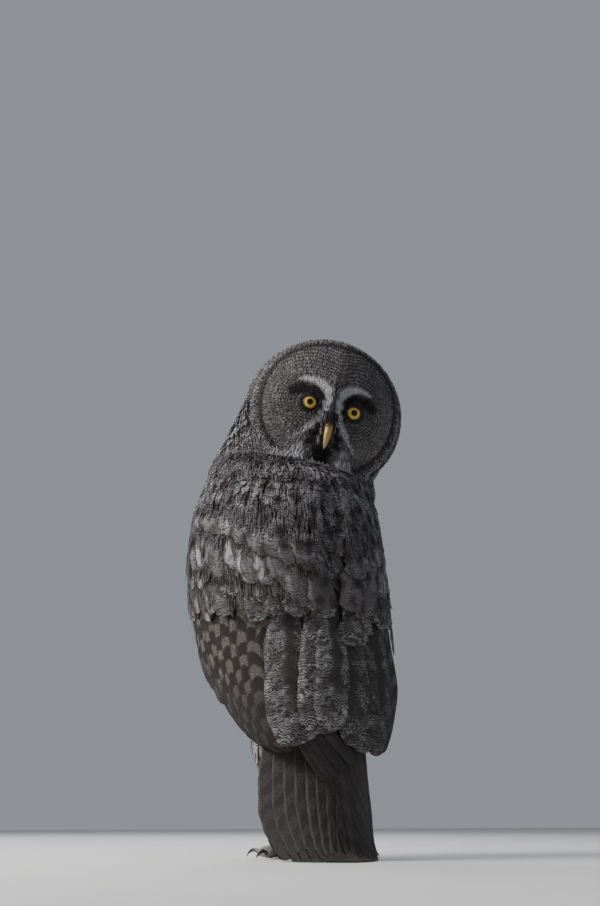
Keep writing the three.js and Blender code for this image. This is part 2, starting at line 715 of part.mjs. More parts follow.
let upper = upperBill();
for (const side of [-1, 1]) upper = upper.subtract(nostrilBody(side));
const lower = lowerBill().subtract(grown(upper));
head = head.subtract(grown(upper)).subtract(grown(lower));
for (const { centre } of eyes) {
  const socket = ball(centre, EYE_RADIUS + GAP, ...EYE_GRID);
  head = head.add(lidBody(centre)).subtract(socket);
}
place('head', head, FINISH.face);
for (const { name, centre } of eyes) place(name, ball(centre, EYE_RADIUS, ...EYE_GRID), FINISH.eye);
place('bill_upper', upper, FINISH.bill);
place('bill_lower', lower, FINISH.bill);

for (const { name, body } of wings) place(name, body, FINISH.wing);
place('tail', tail, FINISH.tail);
for (const { name, side, body } of legs) {
  place(`leg_${name}`, body, FINISH.leg);
  const talons = TOES.map(toe => talonBody(side, toe));
  let foot = footBody(side);
  for (const talon of talons) foot = foot.subtract(grown(talon));
  place(`foot_${name}`, foot, FINISH.leg);
  talons.forEach((talon, i) => place(`talon_${name}_${i + 1}`, talon, FINISH.talon));
}

// The origin is under the middle of the whole owl's box
const box = new THREE.Box3().setFromObject(owl);
const middle = box.getCenter(vector(0, 0, 0));
owl.position.set(-middle.x, -middle.y, -box.min.z);

export default owl;
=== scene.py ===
"""Great grey owl, life size: skin, feathers, eyes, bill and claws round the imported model.

Sizes are in millimetres in the design frame, where the breast faces -Y and the owl's own left is +X, and
become metres in the part's frame when a mesh is made.
"""
import math

import bpy
import numpy as np
from mathutils import Matrix, Vector
from mathutils.bvhtree import BVHTree


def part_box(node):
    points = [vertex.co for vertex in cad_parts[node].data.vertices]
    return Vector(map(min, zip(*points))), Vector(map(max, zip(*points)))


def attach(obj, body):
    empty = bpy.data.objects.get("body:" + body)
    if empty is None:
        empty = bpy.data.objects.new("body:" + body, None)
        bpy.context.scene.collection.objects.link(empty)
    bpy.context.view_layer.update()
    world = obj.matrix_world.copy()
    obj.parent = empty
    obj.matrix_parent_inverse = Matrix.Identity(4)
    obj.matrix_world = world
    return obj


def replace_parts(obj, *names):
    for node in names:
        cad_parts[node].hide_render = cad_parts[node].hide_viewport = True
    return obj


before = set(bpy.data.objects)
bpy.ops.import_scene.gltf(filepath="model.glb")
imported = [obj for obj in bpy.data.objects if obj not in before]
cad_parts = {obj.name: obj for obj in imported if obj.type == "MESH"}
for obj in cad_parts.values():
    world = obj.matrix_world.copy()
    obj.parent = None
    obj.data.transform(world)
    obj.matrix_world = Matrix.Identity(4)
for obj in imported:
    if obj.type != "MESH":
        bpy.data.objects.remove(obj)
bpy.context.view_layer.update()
rng = np.random.default_rng(7)

# Driving sizes, as in the solids
MM = 0.001
HEAD_CENTRE = np.array([-37.6, 27, 558.8])
HEAD_TURN = 19.6
HEAD_DIP = -12.8
HEAD_TILT = 11.7
DISC_RADIUS = 105
EYE_RADIUS = 13.5
EYE_APART = 60
EYE_FORWARD = 49
EYE_HEIGHT = 8
LEG_APART = 60
LEG_MIDDLE = -9
LEG_PLACE = 35
TALON_LENGTH = 21
SOLE = 0.8
SKIN_LOWEST = 0.3
FEATHERS_LOWEST = 0.2
LID_RADIUS = 14
DOWN = np.array([0, 0, -1.0])


def through(*knots):
    """Smooth function through (place, value) pairs that does not overshoot between them."""
    x, y = np.array(knots, float).T
    step = np.diff(y) / np.diff(x)
    before, after = step[:-1], step[1:]
    total = np.where(before + after == 0, 1, before + after)
    inner = np.where(before * after > 0, 2 * before * after / total, 0)
    slope = np.concatenate([step[:1], inner, step[-1:]])

    def at(place):
        p = np.clip(place, x[0], x[-1])
        i = np.clip(np.searchsorted(x, p, side="right") - 1, 0, len(x) - 2)
        width = x[i + 1] - x[i]
        s = (p - x[i]) / width
        start = y[i] * (1 + 2 * s) + slope[i] * width * s
        end = y[i + 1] * (3 - 2 * s) + slope[i + 1] * width * (s - 1)
        return start * (1 - s) ** 2 + end * s ** 2
    return at


def mix(a, b, t):
    return a + (b - a) * t


def bump(distance, reach):
    return np.exp(-(distance / reach) ** 2)


def step_up(value, low, high):
    """Smooth step from 0 at low to 1 at high."""
    s = np.clip((value - low) / (high - low), 0, 1)
    return s * s * (3 - 2 * s)


def unit(v):
    return v / np.maximum(np.linalg.norm(v, axis=-1, keepdims=True), 1e-9)


def dot(a, b):
    return np.sum(a * b, axis=-1, keepdims=True)


def stack(*values):
    return np.stack(np.broadcast_arrays(*(np.asarray(value, float) for value in values)), -1)


def spline(a, b, c, d, s):
    """Smooth curve from b to c at s from 0 to 1, with a before them and d after."""
    return 0.5 * (2 * b + (c - a) * s + (2 * a - 5 * b + 4 * c - d) * s ** 2
                  + (3 * b - a - 3 * c + d) * s ** 3)


def catmull(points):
    """Curve through the points, evenly in its parameter."""
    p = np.array(points, float)
    p = np.vstack([2 * p[0] - p[1], p, 2 * p[-1] - p[-2]])

    def at(t):
        place = np.clip(np.asarray(t, float), 0, 1) * (len(p) - 3)
        i = np.clip(place.astype(int), 0, len(p) - 4)
        return spline(p[i], p[i + 1], p[i + 2], p[i + 3], (place - i)[..., None])
    return at


def tangent(curve, t, reach=0.01):
    return unit(curve(np.clip(t + reach, 0, 1)) - curve(np.clip(t - reach, 0, 1)))


def ball_point(v, u):
    """Point of a unit ball round an axis along Y."""
    down, around = np.pi * v, 2 * np.pi * u
    return stack(np.sin(down) * np.sin(around), np.cos(down), np.sin(down) * np.cos(around))


# Shapes shared with the solids
TRUNK = {
    "x": through((98, -6), (140, -6), (200, -6), (250, -4), (300, 0), (360, 2), (420, 2.5), (470, 0)),
    "y": through((98, 44), (115, 40), (140, 34), (170, 26), (210, 14), (240, 8), (300, 0), (360, -6),
                 (420, -5), (470, -1)),
    "width": through((98, 0), (104, 28), (118, 46), (140, 66), (170, 85), (210, 103), (240, 113), (300, 121),
                     (360, 120), (420, 115), (470, 112)),
    "back": through((98, 0), (104, 30), (118, 50), (140, 64), (170, 79), (210, 93), (240, 103), (300, 114),
                    (360, 114), (420, 105), (447, 97), (462, 85), (474, 68)),
    "front": through((98, 0), (104, 34), (118, 54), (140, 78), (170, 101), (210, 116), (240, 121), (300, 118),
                     (360, 110), (420, 98), (470, 88)),
}
CLOAK = {
    "x": through((80, -4), (120, -2), (160, -4), (200, -6), (250, -4), (300, 0), (360, 2), (420, 2.5),
                 (470, 0)),
    "y": through((80, 86), (120, 70), (160, 45), (200, 25), (240, 10), (300, 0), (360, -6), (420, -5),
                 (470, -1)),
    "width": through((80, 50), (120, 75), (160, 96), (200, 111), (240, 119), (300, 126), (360, 124),
                     (420, 118), (470, 113)),
    "back": through((80, 44), (120, 60), (160, 84), (200, 103), (240, 114), (300, 120), (360, 118),
                    (420, 108), (447, 98), (462, 86), (474, 69)),
    "front": through((80, 44), (160, 80), (240, 110), (300, 114), (360, 108), (470, 88)),
    "power": through((80, 0.75), (140, 0.78), (260, 1)),
}
NAPE = {
    "x": through((440, 0), (474, -3), (502, -19), (531, -30), (560, -32), (589, -32), (625, -34)),
    "y": through((440, 0), (625, 0)),
    "width": through((440, 115), (474, 115), (502, 119), (531, 117), (560, 105), (589, 94), (610, 70),
                     (625, 0)),
    "back": through((447, 98), (462, 85), (474, 68), (488, 48), (502, 34), (531, 14), (560, 6), (610, 4),
                    (625, 0)),
    "front": through((440, 94), (474, 89), (502, 84), (531, 77), (560, 68), (589, 56), (610, 36), (625, 0)),
}


def oval_point(shape, angle, z):
    """Point on an upright oval section: angle 0 is the back, 90 the owl's left, 180 the breast."""
    power = shape["power"](z) if "power" in shape else 1
    a = np.radians(angle)
    across = np.sign(np.sin(a)) * np.abs(np.sin(a)) ** power
    along = np.sign(np.cos(a)) * np.abs(np.cos(a)) ** power
    depth = np.where(along > 0, shape["back"](z), shape["front"](z))
    return stack(shape["x"](z) + shape["width"](z) * across, shape["y"](z) + depth * along, z)


def oval_normal(shape, angle, z):
    around = oval_point(shape, angle + 0.5, z) - oval_point(shape, angle - 0.5, z)
    rise = oval_point(shape, angle, z + 0.5) - oval_point(shape, angle, z - 0.5)
    return unit(np.cross(rise, around))


def lifted_point(shape, angle, z, height):
    return oval_point(shape, angle, z) + oval_normal(shape, angle, z) * np.asarray(height, float)[..., None]


# Head frame
turn, dip, tilt = np.radians([HEAD_TURN, HEAD_DIP, HEAD_TILT])
head_forward = np.array([math.sin(turn) * math.cos(dip), math.cos(turn) * math.cos(dip), math.sin(dip)])
level_up = unit(np.array([0, 0, 1.0]) - head_forward[2] * head_forward)
head_up = level_up * math.cos(tilt) + np.cross(level_up, head_forward) * math.sin(tilt)
head_right = np.cross(head_forward, head_up)
HEAD_AXES = np.array([head_right, head_forward, head_up])


def on_head(right, forward, up):
    return HEAD_CENTRE + stack(right, forward, up) @ HEAD_AXES


def head_place(points):
    """The owl's own right, forward and up of points, from the middle of the head."""
    return (points - HEAD_CENTRE) @ HEAD_AXES.T


rim_forward = through((0, 26), (45, 16), (90, 6), (135, 12), (180, 24))
disc_reach = through((0, 0.99), (60, 1), (95, 0.975), (125, 0.92), (155, 0.87), (180, 0.86))
ruff_reach = through((0, 0.915), (25, 0.94), (50, 0.935), (80, 0.89), (110, 0.87), (180, 0.86))


def face_angle(right, up):
    return np.abs(np.degrees(np.arctan2(right, up)))


def face_forward(right, up):
    reach = np.hypot(right, up) / DISC_RADIUS
    dome = mix(66, rim_forward(face_angle(right, up)), reach ** 2.2)
    beside = np.abs(right) - EYE_APART / 2
    dish = 5 * bump(np.hypot(beside, up - EYE_HEIGHT), 24)
    ridge = 7 * bump(right, 9) * bump(up - 12, 45)
    return dome - dish + ridge


def head_point(v, u):
    around = 2 * np.pi * u
    degrees = np.abs((360 * u + 180) % 360 - 180)
    reach = DISC_RADIUS * disc_reach(degrees)
    radius = reach * np.sin(np.clip(v / 0.5, 0, 1) * np.pi / 2)
    right, up = radius * np.sin(around), radius * np.cos(around)
    front = stack(right, face_forward(right, up), up)
    back = np.clip((v - 0.5) / 0.5, 0, 1) * np.pi / 2
    round_back = reach * np.cos(back) * (1 + 0.2 * np.sin(2 * back))
    rim = face_forward(reach * np.sin(around), reach * np.cos(around))
    behind = stack(round_back * np.sin(around), mix(rim, -76, np.sin(back)), round_back * np.cos(around))
    local = np.where((v <= 0.5)[..., None], front, behind)
    return HEAD_CENTRE + local @ HEAD_AXES


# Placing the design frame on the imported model
def node_middle(name):
    low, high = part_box(name)
    return (np.array(low) + np.array(high)) / 2


eye_centres = {"right": on_head(EYE_APART / 2, EYE_FORWARD, EYE_HEIGHT),
               "left": on_head(-EYE_APART / 2, EYE_FORWARD, EYE_HEIGHT)}


def middle_of_ball(centre):
    """Middle of the box of the solids' faceted eye ball round this centre."""
    rows, columns = np.meshgrid(np.arange(9) / 8, np.arange(16) / 16, indexing="ij")
    points = centre + EYE_RADIUS * ball_point(rows.ravel(), columns.ravel()) @ HEAD_AXES
    return (points.min(0) + points.max(0)) / 2


SHIFT = np.mean([node_middle("eye_" + side) / MM - middle_of_ball(centre)
                 for side, centre in eye_centres.items()], axis=0)


# Meshes from arrays
def make_object(name, points, faces, vectors=None, uvs=None):
    """Mesh of points in millimetres; faces is a list of (n, k) index arrays, uvs hold a pair a point."""
    mesh = bpy.data.meshes.new(name)
    flat = np.concatenate([f.ravel() for f in faces]).astype(np.int32)
    sizes = np.concatenate([np.full(len(f), f.shape[1]) for f in faces]).astype(np.int32)
    mesh.vertices.add(len(points))
    mesh.vertices.foreach_set("co", ((points + SHIFT) * MM).astype(np.float32).ravel())
    mesh.loops.add(len(flat))
    mesh.loops.foreach_set("vertex_index", flat)
    mesh.polygons.add(len(sizes))
    mesh.polygons.foreach_set("loop_start", np.concatenate([[0], np.cumsum(sizes)[:-1]]).astype(np.int32))
    mesh.polygons.foreach_set("use_smooth", np.full(len(sizes), True))
    for label, values in (vectors or {}).items():
        layer = mesh.attributes.new(label, "FLOAT_VECTOR", "POINT")
        layer.data.foreach_set("vector", values.astype(np.float32).ravel())
    for label, values in (uvs or {}).items():
        layer = mesh.uv_layers.new(name=label)
        layer.data.foreach_set("uv", values[flat].astype(np.float32).ravel())
    mesh.update(calc_edges=True)
    mesh.validate()
    piece = bpy.data.objects.new(name, mesh)
    bpy.context.scene.collection.objects.link(piece)
    return piece


def dressed(piece, material):
    """Gives a piece its material and the body that carries it."""
    piece.data.materials.append(material)
    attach(piece, "root")
    return piece


def grid_faces(rows, columns, closed):
    """Quads of a grid of points, rows by columns, closed round or not."""
    i, j = np.meshgrid(np.arange(rows - 1), np.arange(columns if closed else columns - 1), indexing="ij")
    k = (j + 1) % columns
    return np.stack([i * columns + j, i * columns + k, (i + 1) * columns + k, (i + 1) * columns + j],
                    -1).reshape(-1, 4)


def closed_rings(at, rows, columns):
    """Points and faces of a closed body of rings, at(v, u), with a point at each end."""
    v, u = np.meshgrid(np.arange(1, rows) / rows, np.arange(columns) / columns, indexing="ij")
    ends = at(np.array([0.0, 1.0]), np.array([0.0, 0.0]))
    ring = at(v.ravel(), u.ravel())
    points = np.vstack([ring, ends])
    j = np.arange(columns)
    last = (rows - 2) * columns
    caps = np.vstack([np.stack([np.full(columns, len(ring)), (j + 1) % columns, j], -1),
                      np.stack([np.full(columns, len(ring) + 1), last + j, last + (j + 1) % columns], -1)])
    return points, [grid_faces(rows - 1, columns, True), caps]


def outward(points, faces):
    """The same faces, turned so that the body's volume is positive."""
    volume = 0
    for f in faces:
        for k in range(1, f.shape[1] - 1):
            a, b, c = points[f[:, 0]], points[f[:, k]], points[f[:, k + 1]]
            volume += np.sum(a * np.cross(b, c))
    return faces if volume > 0 else [f[:, ::-1] for f in faces]


def join_bodies(bodies):
    """One list of points and faces from several (points, faces) bodies."""
    all_points, all_faces, start = [], [], 0
    for points, faces in bodies:
        all_faces += [f + start for f in outward(points, faces)]
        all_points.append(points)
        start += len(points)
    return np.vstack(all_points), all_faces


# Flesh forms
def oval_rings(shape, low, high, rows, columns):
    return closed_rings(lambda v, u: oval_point(shape, 360 * u, mix(low, high, v)), rows, columns)


def vent_rings():
    spine = catmull([(0, 40, 160), (3, 84, 108), (9, 108, 66)])
    width = through((0, 20), (0.3, 44), (0.7, 38), (1, 0))
    depth = through((0, 10), (0.3, 28), (0.7, 15), (1, 0))

    def at(v, u):
        along = tangent(spine, v)
        out = unit(stack(0, along[..., 2], -along[..., 1]))
        around = 2 * np.pi * u
        side = stack(width(v) * np.sin(around), 0, 0)
        return spine(v) + side + out * (depth(v) * np.cos(around))[..., None]
    return closed_rings(at, 20, 36)


def leg_middle(side):
    return LEG_MIDDLE + side * LEG_APART / 2


def leg_rings(side):
    shape = {
        "x": through((0, leg_middle(side)), (190, leg_middle(side) + side * 3)),
        "y": through((0, LEG_PLACE), (190, LEG_PLACE + 6)),
        "width": through((20, 0), (26, 15), (60, 22), (100, 31), (140, 39), (190, 34), (200, 0)),
        "back": through((20, 0), (26, 15), (60, 26), (100, 38), (140, 46), (190, 34), (200, 0)),
        "front": through((20, 0), (26, 15), (60, 26), (100, 38), (140, 48), (190, 34), (200, 0)),
    }
    return oval_rings(shape, 20, 200, 40, 32)


TOES = [(-12, 50, 7.5), (20, 48, 7.5), (118, 42, 7), (182, 36, 6.5)]


def toe_axes(side, heading):
    a = math.radians(heading)
    ahead = np.array([side * math.sin(a), -math.cos(a), 0])
    start = np.array([leg_middle(side), LEG_PLACE, 0.0])
    return ahead, start, np.array([-ahead[1], ahead[0], 0])


def toe_rings(side, toe):
    heading, reach, girth = toe
    ahead, start, across = toe_axes(side, heading)
    rise = through((0, 12), (0.5, 8.5), (1, 5.5))
    width = through((0, 2), (0.15, girth), (0.8, girth * 0.95), (1, girth * 0.4))

    def at(v, u):
        around = 2 * np.pi * u
        end = np.where((v == 0) | (v == 1), 0, 1) * width(v)
        p = start + mix(-4, reach, v)[..., None] * ahead + (end * np.sin(around))[..., None] * across
        p[..., 2] = np.maximum(rise(v) + end * 1.02 * np.cos(around), SOLE)
        return p
    return closed_rings(at, 16, 20)


def foot_ball(side):
    start = np.array([leg_middle(side), LEG_PLACE, 16.0])

    def at(v, u):
        down, around = np.pi * v, 2 * np.pi * u
        p = start + stack(15 * np.sin(down) * np.sin(around), 15 * np.sin(down) * np.cos(around),
                          22 * np.cos(down))
        p[..., 2] = np.maximum(p[..., 2], SOLE)
        return p
    return closed_rings(at, 16, 24)


flesh = {
    "trunk": [oval_rings(TRUNK, 98, 478, 60, 90)],
    "vent": [vent_rings()],
    "neck": [oval_rings(NAPE, 447, 625, 40, 80)],
    "head": [closed_rings(head_point, 72, 110)],
    "leg": [leg_rings(1), leg_rings(-1)],
    "foot": [foot_ball(s) for s in (1, -1)] + [toe_rings(s, toe) for s in (1, -1) for toe in TOES],
}
TRUNK_PART, VENT_PART, NECK_PART, HEAD_PART, LEG_PART, FOOT_PART = range(len(flesh))
VOXEL = 0.0032


def remeshed(points, faces):
    """Points and faces of one closed surface round the union of the bodies."""
    rough = make_object("rough_flesh", points, faces)
    voxels = rough.modifiers.new("voxels", "REMESH")
    voxels.mode = "VOXEL"
    voxels.voxel_size = VOXEL
    smooth = rough.modifiers.new("smooth", "SMOOTH")
    smooth.factor = 0.5
    smooth.iterations = 6
    graph = bpy.context.evaluated_depsgraph_get()
    mesh = bpy.data.meshes.new_from_object(rough.evaluated_get(graph))
    co = np.empty(len(mesh.vertices) * 3, np.float32)
    mesh.vertices.foreach_get("co", co)
    quads = np.array([tuple(p.vertices) for p in mesh.polygons if len(p.vertices) == 4])
    thirds = [tuple(p.vertices) for p in mesh.polygons if len(p.vertices) == 3]
    bpy.data.objects.remove(rough)
    bpy.data.meshes.remove(mesh)
    faces = [quads] + ([np.array(thirds)] if thirds else [])
    return co.reshape(-1, 3) / MM - SHIFT, faces


def vertex_normals(points, faces):
    normals = np.zeros_like(points)
    for f in faces:
        flat = np.cross(points[f[:, 2]] - points[f[:, 0]], points[f[:, -1]] - points[f[:, 1]])
        for k in range(f.shape[1]):
            np.add.at(normals, f[:, k], flat)
    return unit(normals)


def tree_of(points, faces):
    polygons = [tuple(p) for f in faces for p in f.tolist()]
    return BVHTree.FromPolygons([tuple(p) for p in points.tolist()], polygons)


outer_points, skin_faces = remeshed(*join_bodies([b for group in flesh.values() for b in group]))

# Which part of the body each place of the skin belongs to
part_trees = [tree_of(*join_bodies(bodies)) for bodies in flesh.values()]
skin_part = np.argmin([[tree.find_nearest(p)[3] for p in outer_points.tolist()] for tree in part_trees],
                      axis=0)
skin_edges = np.vstack([np.stack([f[:, k], f[:, (k + 1) % f.shape[1]]], -1) for f in skin_faces
                        for k in range(f.shape[1])])
edge_count = np.bincount(skin_edges.ravel(), minlength=len(outer_points))


def smoothed(values, rounds):
    """Values averaged with their neighbours across the skin."""
    for _ in range(rounds):
        total = np.bincount(skin_edges[:, 0], values[skin_edges[:, 1]], len(values))
        total += np.bincount(skin_edges[:, 1], values[skin_edges[:, 0]], len(values))
        values = (values + total / edge_count) / 2
    return values


def smoothed_places(points, rounds):
    return np.stack([smoothed(points[:, k], rounds) for k in range(3)], -1)


# The plumage fills the crease between the head and the neck
of_head = smoothed((skin_part == HEAD_PART).astype(float), 100)
crease = step_up(4 * of_head * (1 - of_head), 0.1, 0.7)
hollow = np.zeros(len(outer_points))
for _ in range(2):
    outer_normals = vertex_normals(outer_points, skin_faces)
    filled = smoothed_places(outer_points, 160)
    gain = smoothed(np.maximum(dot(filled - outer_points, outer_normals)[:, 0], 0), 20)
    share = crease * step_up(gain, 0.5, 1.8)
    hollow = np.maximum(hollow, share)
    outer_points = mix(outer_points, filled, share[:, None])


def face_share(points):
    """1 on the facial disc, 0 behind its rim."""
    right, forward, up = head_place(points).T
    return step_up(forward - rim_forward(face_angle(right, up)), -3, 3)


def past_ruff(right, up):
    """How far outside the dark ruff line a place of the face is, as a share of the disc's radius."""
    angle = face_angle(right, up)
    return np.hypot(right, up) / (DISC_RADIUS * disc_reach(angle)) - ruff_reach(angle)


def disc_share(points):
    """1 inside the dark ruff line of the disc, 0 outside it."""
    right, _, up = head_place(points).T
    return face_share(points) * step_up(-past_ruff(right, up), -0.015, 0.015)


def back_angle(points):
    """Angle round the trunk from the middle of the back, positive to the owl's left."""
    x, y, z = points.T
    return np.degrees(np.arctan2(x / TRUNK["width"](z), (y - TRUNK["y"](z)) / TRUNK["back"](z)))


def wing_share(points):
    """1 where the folded wings lie over the trunk."""
    angle, z = back_angle(points), points[:, 2]
    inner = np.where(angle > 0, step_up(angle, 2, 12), step_up(-angle, 6, 16))
    return inner * step_up(-np.abs(angle), -104, -92) * step_up(z, 150, 180) * step_up(-z, -450, -425)


def over_wings(points):
    """1 where body feathers lie over the upper and inner edges of the wings."""
    angle, z = back_angle(points), points[:, 2]
    between = step_up(-angle, -14, -8) * step_up(angle, -22, -15) * step_up(z, 290, 320)
    shoulder = step_up(z, 428, 442) * step_up(-np.abs(angle), -114, -68)
    return np.maximum(between, shoulder) * step_up(-z, -492, -474)


# Depth of the plumage, and the skin that lies so far inside it
depth = np.select([skin_part == part for part in (HEAD_PART, FOOT_PART, LEG_PART, NECK_PART)],
                  [mix(6.5, 3.0, face_share(outer_points)), 1.2, 4.0, 7.0],
                  mix(8.0, 2.5, wing_share(outer_points)))
depth = smoothed(depth, 8)

# The edges down the sides of the neck are rounded off under deeper plumage
of_neck = smoothed((skin_part == NECK_PART).astype(float), 10)
of_neck = (of_neck * step_up(outer_points[:, 2], 502, 522))[:, None]
rounded = mix(outer_points, smoothed_places(outer_points, 45), of_neck)
round_normals = vertex_normals(rounded, skin_faces)
lost = np.maximum(dot(outer_points - rounded, round_normals)[:, 0], 0)
skin_points = rounded - round_normals * depth[:, None]
depth = depth + smoothed(lost, 4)
skin_points[:, 2] = np.maximum(skin_points[:, 2], SKIN_LOWEST)
skin_normals = vertex_normals(skin_points, skin_faces)
skin_tree = tree_of(skin_points, skin_faces)
polygon_corner = np.concatenate([f[:, 0] for f in skin_faces])
polygon_normal = unit(np.concatenate([skin_normals[f].mean(1) for f in skin_faces]))
polygon_depth = np.concatenate([depth[f].mean(1) for f in skin_faces])


# Feathers from arrays
BAKE_PATCH = 0.003
BODY_HEIGHT = 660
HAIR = np.array([0, 0.4, 0.75, 1.0])
FINE = np.array([0, 0.25, 0.5, 0.75, 0.9, 1.0])
FULL = np.array([0, 0.18, 0.36, 0.52, 0.66, 0.78, 0.88, 0.95, 1.0])
LONG = np.concatenate([np.linspace(0, 0.85, 20), [0.9, 0.94, 0.97, 0.988, 1.0]])
SHORT = np.concatenate([np.linspace(0, 0.8, 9), [0.88, 0.94, 0.98, 1.0]])
THREE = [-1, 0, 1]
FIVE = [-1, -0.55, 0, 0.55, 1]
SEVEN = np.linspace(-1, 1, 7)
NINE = np.linspace(-1, 1, 9)
BODY_PROFILE = through((0, 0.3), (0.2, 0.75), (0.45, 1), (0.7, 0.86), (0.88, 0.5), (1, 0.1))
HAIR_PROFILE = through((0, 0.6), (0.4, 1), (0.8, 0.6), (1, 0.08))
FLIGHT_PROFILE = through((0, 0.5), (0.4, 0.95), (0.8, 1), (0.93, 0.84), (0.98, 0.5), (1, 0.16))
COVERT_PROFILE = through((0, 0.4), (0.3, 0.85), (0.7, 1), (0.9, 0.78), (0.97, 0.45), (1, 0.12))


def nearest(points):
    """Nearest places of the skin, with their smooth normals, coat depths and body parts."""
    found = [skin_tree.find_nearest(p) for p in points.tolist()]
    place = np.array([f[0] for f in found])
    polygon = np.array([f[2] for f in found])
    return place, polygon_normal[polygon], polygon_depth[polygon], skin_part[polygon_corner[polygon]]


def walk(roots, heading, length, steps):
    """Paths along the skin from each root: points and normals, (N, steps + 1, 3)."""
    points = np.empty((len(roots), steps + 1, 3))
    normals = np.empty_like(points)
    place, direction = roots, heading
    for k in range(steps + 1):
        place, normal, _, _ = nearest(place)
        points[:, k], normals[:, k] = place, normal
        direction = unit(direction - dot(direction, normal) * normal)
        place = place + direction * (length / steps)[:, None]
    return points, normals


def resampled(values, stations):
    """Values along paths, (N, steps + 1, 3), read at stations from 0 to 1."""
    steps = values.shape[1] - 1
    place = stations * steps
    i = np.clip(place.astype(int), 0, steps - 1)
    before, after = values[:, np.clip(i - 1, 0, steps)], values[:, np.clip(i + 2, 0, steps)]
    return spline(before, values[:, i], values[:, i + 1], after, (place - i)[None, :, None])


def along_paths(paths):
    return unit(np.gradient(paths, axis=1))


def sized(count, middle, share=0.12):
    return middle * rng.uniform(1 - share, 1 + share, count)


class Coat:
    """Vanes or tufts gathered from arrays, made into one mesh."""

    def __init__(self):
        self.points, self.faces, self.vane, self.form, self.bake = [], [], [], [], []
        self.count = 0

    def add(self, centre, out, width, profile, stations, columns, thickness, bake, length, slant=0.0,
            camber=0.0, ragged=0.0, kind=None, sign=1, tilt=0.0):
        """Closed vanes: centre and out (N, S, 3), width (N), columns from -1 to 1 on top."""
        n, s, _ = centre.shape
        along = along_paths(centre)
        across = unit(np.cross(along, out))
        top = np.asarray(columns, float)
        prism = len(top) == 3
        side = top if prism else np.concatenate([top, top[-2:0:-1]])
        upper = np.concatenate([np.ones(len(top)), -np.ones(len(side) - len(top))])
        ring = len(side)
        reach = (width[:, None] / 2 * profile(stations)[None])[:, :, None] * side
        if ragged:
            noise = rng.uniform(-1, 1, (n, s, 2))
            reach = reach * (1 + ragged * noise[:, :, np.where(side < 0, 0, 1)] * np.abs(side) ** 3)
        thick = thickness * (1 - side ** 2)
        lift = thick if prism else upper * thick / 2
        thinner = np.clip(1.15 - stations, 0.25, 1)[None, :, None]
        height = lift * thinner - camber * reach ** 2 + tilt * sign * reach
        points = (centre[:, :, None] + across[:, :, None] * reach[..., None]
                  + out[:, :, None] * height[..., None]
                  + along[:, :, None] * (slant * np.abs(reach))[..., None])
        fan = np.stack([np.zeros(ring - 2, int), np.arange(2, ring), np.arange(1, ring - 1)], -1)
        body = grid_faces(s, ring, True)[:, [1, 2, 3, 0]]
        first = self.count + np.arange(n)[:, None, None] * s * ring
        for faces in (body, fan, (s - 1) * ring + fan[:, ::-1]):
            self.faces.append((first + faces).reshape(-1, faces.shape[1]))
        seed = rng.uniform(0, 100, n)
        kind = np.zeros(n) if kind is None else kind
        t = stations[None, :, None]
        for kept, values in ((self.vane, (sign * reach, t * length[:, None, None], seed[:, None, None])),
                             (self.form, (sign * side, t, kind[:, None, None]))):
            kept.append(np.stack([np.broadcast_to(v, (n, s, ring)) for v in values], -1).reshape(-1, 3))
        patch = np.stack(np.broadcast_arrays(side[None, None, :], 2 * t - 1), -1)
        self.bake.append((bake[:, None, None] + BAKE_PATCH / 2 * patch).reshape(-1, 2))
        self.points.append(points.reshape(-1, 3))
        self.count += n * s * ring

    def piece(self, name, material, slot, marks=None):
        points = np.vstack(self.points)
        points[:, 2] = np.maximum(points[:, 2], FEATHERS_LOWEST - SHIFT[2])
        vectors = {"Vane": np.vstack(self.vane), "Form": np.vstack(self.form), "Head": head_place(points),
                   "Body": points}
        if marks:
            vectors["Mark"] = marks(points)
        made = make_object(name, points, self.faces, vectors, {"OFBake": np.vstack(self.bake)})
        return dressed(made, material)


def unwrapped(points):
    """Place of each point on an unwrap of the body round its height, from 0 to 1."""
    around = np.arctan2(points[:, 0], -points[:, 1] + 10) / (2 * np.pi) + 0.5
    return np.clip(np.stack([around, points[:, 2] / BODY_HEIGHT], -1), 0.005, 0.995)


def unwrapped_head(points):
    """Place of each point on an unwrap of the head, round from the middle of the disc to the back."""
    right, forward, up = head_place(points).T
    around = np.arctan2(right, up)
    back = np.arctan2(np.hypot(right, up), forward + 10) / np.pi
    return 0.5 + 0.49 * np.stack([back * np.sin(around), back * np.cos(around)], -1)


def unwrapped_row(count, row):
    """Places of a row of feathers on their bake sheet."""
    return 0.06 + 0.88 * np.stack([(np.arange(count) + 0.5) / count, np.full(count, row)], -1)


